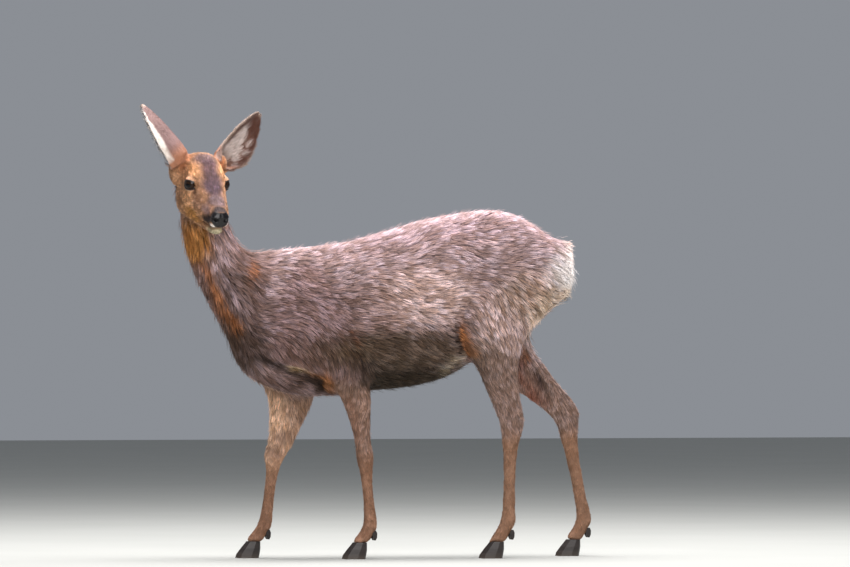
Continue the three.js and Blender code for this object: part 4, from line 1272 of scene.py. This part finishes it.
coats = []
face_region = np.full(len(skin_faces), -1)
for number, region in enumerate(REGIONS):
    face_region[region[1][skin_faces[:, 0]]] = number
for number, (name, _, *settings) in enumerate(REGIONS):
    faces = skin_faces[face_region == number]
    piece = grown(name, faces, *settings, number * 31 + 5)
    coats.append(piece)
    area = round(face_areas(skin_points, faces).sum(), 4)
    print(name, len(piece.data.polygons), "triangles on", area, "m2")
bpy.data.objects.remove(tuft)
print("coat of", sum(len(c.data.polygons) for c in coats), "triangles in all")

# %% [markdown]
# ## Eyes
# A deer's eye is so dark that it reads as black, yet close up the iris is deep brown with a wide level
# pupil. A smooth ball takes the place of the faceted one, and its finish draws pupil, iris and the dark
# rim from the direction in which each point faces; a smooth, weak gloss stands for the wet cornea.

# %% Make the eyes
def ball(radius, rings, segments):
    bm = bmesh.new()
    bmesh.ops.create_uvsphere(bm, u_segments=segments, v_segments=rings, radius=radius)
    bmesh.ops.triangulate(bm, faces=bm.faces)
    return arrays_of(bm)


CORNEA_RISE, CORNEA_WIDE = 0.6, 0.6

eye_material, t, shader = new_material("eye", 0.05, 0.22)
pupil_gap = attribute(t, "pupil")
iris_gap = attribute(t, "iris")
streaks = t.noise(t.add("ShaderNodeTexCoord").outputs["Object"], 420.0, 2.0)
brown = t.mixed(streaks, (0.010, 0.0045, 0.0025, 1), (0.030, 0.013, 0.006, 1))
outside_pupil = t.out("ShaderNodeMapRange", {0: pupil_gap, 1: 0.85, 2: 1.1})
outside_iris = t.out("ShaderNodeMapRange", {0: iris_gap, 1: 0.9, 2: 1.05})
dark = t.mixed(outside_pupil, (0.0015, 0.0015, 0.002, 1), brown)
rim = t.mixed(outside_iris, dark, (0.004, 0.0025, 0.002, 1))
t.fill(shader.inputs["Base Color"], rim)

for side, node in ((1, "eye_left"), (-1, "eye_right")):
    points, faces = ball(EYE_RADIUS, 32, 48)
    out, nose, up = eye_frame(side)
    way = unit(points)
    level, high = way @ nose, way @ up
    off_axis = np.arccos(np.clip(way @ out, -1, 1))
    points = points + out * (CORNEA_RISE * np.exp(-((off_axis / CORNEA_WIDE) ** 2)))[:, None]
    eye = mesh_object(node + "_ball", from_head(points + EYE_PLACE * (1, side, 1)), faces, eye_material)
    behind = 4 * (way @ out < 0)
    write(eye.data, "pupil", np.sqrt((level / 0.50) ** 2 + (high / 0.30) ** 2) + behind)
    write(eye.data, "iris", np.sqrt((level / 0.86) ** 2 + (high / 0.80) ** 2) + behind)
    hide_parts(node)
    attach(eye, "root")
print("two eyes of radius", EYE_RADIUS, "mm")

# %% [markdown]
# ## Hooves and dewclaws
# The claws are horn: dark, worn paler at the ground and ringed by growth like the edge of a fingernail.
# They keep the solids' own shape, and a material with fine rings along the height does the rest.

# %% Finish the horn
horn_material, t, shader = new_material("hoof_horn", 0.42, 0.4)
where = t.add("ShaderNodeTexCoord").outputs["Object"]
flat = t.vector("MULTIPLY", where, (30.0, 30.0, 420.0))
rings = t.noise(flat, 1.0, 2.0)
height = t.add("ShaderNodeSeparateXYZ", {0: where}).outputs["Z"]
worn = t.out("ShaderNodeMapRange", {0: height, 1: 0.014, 2: 0.0})
horn = t.mixed(rings, (0.010, 0.008, 0.008, 1), (0.042, 0.032, 0.028, 1))
t.fill(shader.inputs["Base Color"], t.mixed(t.product(worn, 0.5), horn, (0.10, 0.078, 0.06, 1)))
ridges = t.out("ShaderNodeBump", {"Height": rings, "Strength": 0.3, "Distance": 0.0006})
t.fill(shader.inputs["Normal"], ridges)
for node in HORN:
    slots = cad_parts[node].material_slots
    for slot in slots:
        slot.link = "OBJECT"
        slot.material = horn_material
print(len(HORN), "pieces of horn finished")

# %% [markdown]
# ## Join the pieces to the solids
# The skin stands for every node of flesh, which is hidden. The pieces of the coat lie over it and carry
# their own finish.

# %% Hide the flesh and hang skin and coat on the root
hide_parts(*FLESH)
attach(skin, "root")
for piece in coats:
    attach(piece, "root")
print("skin replaces", len(FLESH), "nodes")

# %% [markdown]
# ## Floor, light and camera
# A plain pale floor, one large soft light high above and a little behind her, and a weak one in front:
# the back and the top of the head are bright and the belly falls into shade, as out of doors under a
# bright sky. The camera stands far off, level with her shoulder, and looks at her left side from
# slightly in front.

# %% Stage
FLOOR_HALF = 14.0
corners = [(fx * FLOOR_HALF, fy * FLOOR_HALF, 0) for fx, fy in ((-1, -1), (1, -1), (1, 1), (-1, 1))]
floor_material, t, shader = new_material("floor_paper", 0.85, 0.2)
paper = t.noise(t.add("ShaderNodeTexCoord").outputs["Object"], 3.0, 2.0)
t.fill(shader.inputs["Base Color"], t.mixed(paper, (0.42, 0.43, 0.40, 1), (0.46, 0.465, 0.44, 1)))
floor = mesh_object("floor", corners, [(0, 1, 2, 3)], floor_material)


def link(ob, place, aim):
    """Put a light or a camera in the scene, looking at a point."""
    bpy.context.scene.collection.objects.link(ob)
    ob.location = place
    ob.rotation_euler = (Vector(aim) - Vector(place)).to_track_quat("-Z", "Y").to_euler()


def area_light(name, place, aim, size, watts, colour):
    lamp = bpy.data.lights.new(name, "AREA")
    lamp.shape, lamp.size, lamp.energy, lamp.color = "SQUARE", size, watts, colour
    link(bpy.data.objects.new(name, lamp), place, aim)


area_light("sky light", (0.2, 0.3, 4.2), (0, 0, 0.6), 3.4, 400, (1.0, 0.975, 0.985))
area_light("front light", (-0.5, -5.2, 2.6), (0.0, 0, 0.6), 2.6, 200, (1.0, 0.965, 0.955))
world = bpy.data.worlds.new("studio")
bpy.context.scene.world = world
world.use_nodes = True
background = world.node_tree.nodes["Background"].inputs
background["Color"].default_value, background["Strength"].default_value = (0.86, 0.91, 1.0, 1), 0.30

CAMERA_PLACE, CAMERA_AIM = (-4.507, -21.484, 0.650), (0.120, 0.024, 0.590)
FOCAL, SENSOR, FARTHEST = 433.4, 36.0, 100.0
camera_data = bpy.data.cameras.new("camera")
camera_data.lens, camera_data.sensor_width, camera_data.clip_end = FOCAL, SENSOR, FARTHEST
camera = bpy.data.objects.new("camera", camera_data)
link(camera, CAMERA_PLACE, CAMERA_AIM)
bpy.context.scene.camera = camera
bpy.context.scene.view_settings.view_transform = "Standard"
print("stage set, camera", round((Vector(CAMERA_PLACE) - Vector(CAMERA_AIM)).length, 2), "m away")
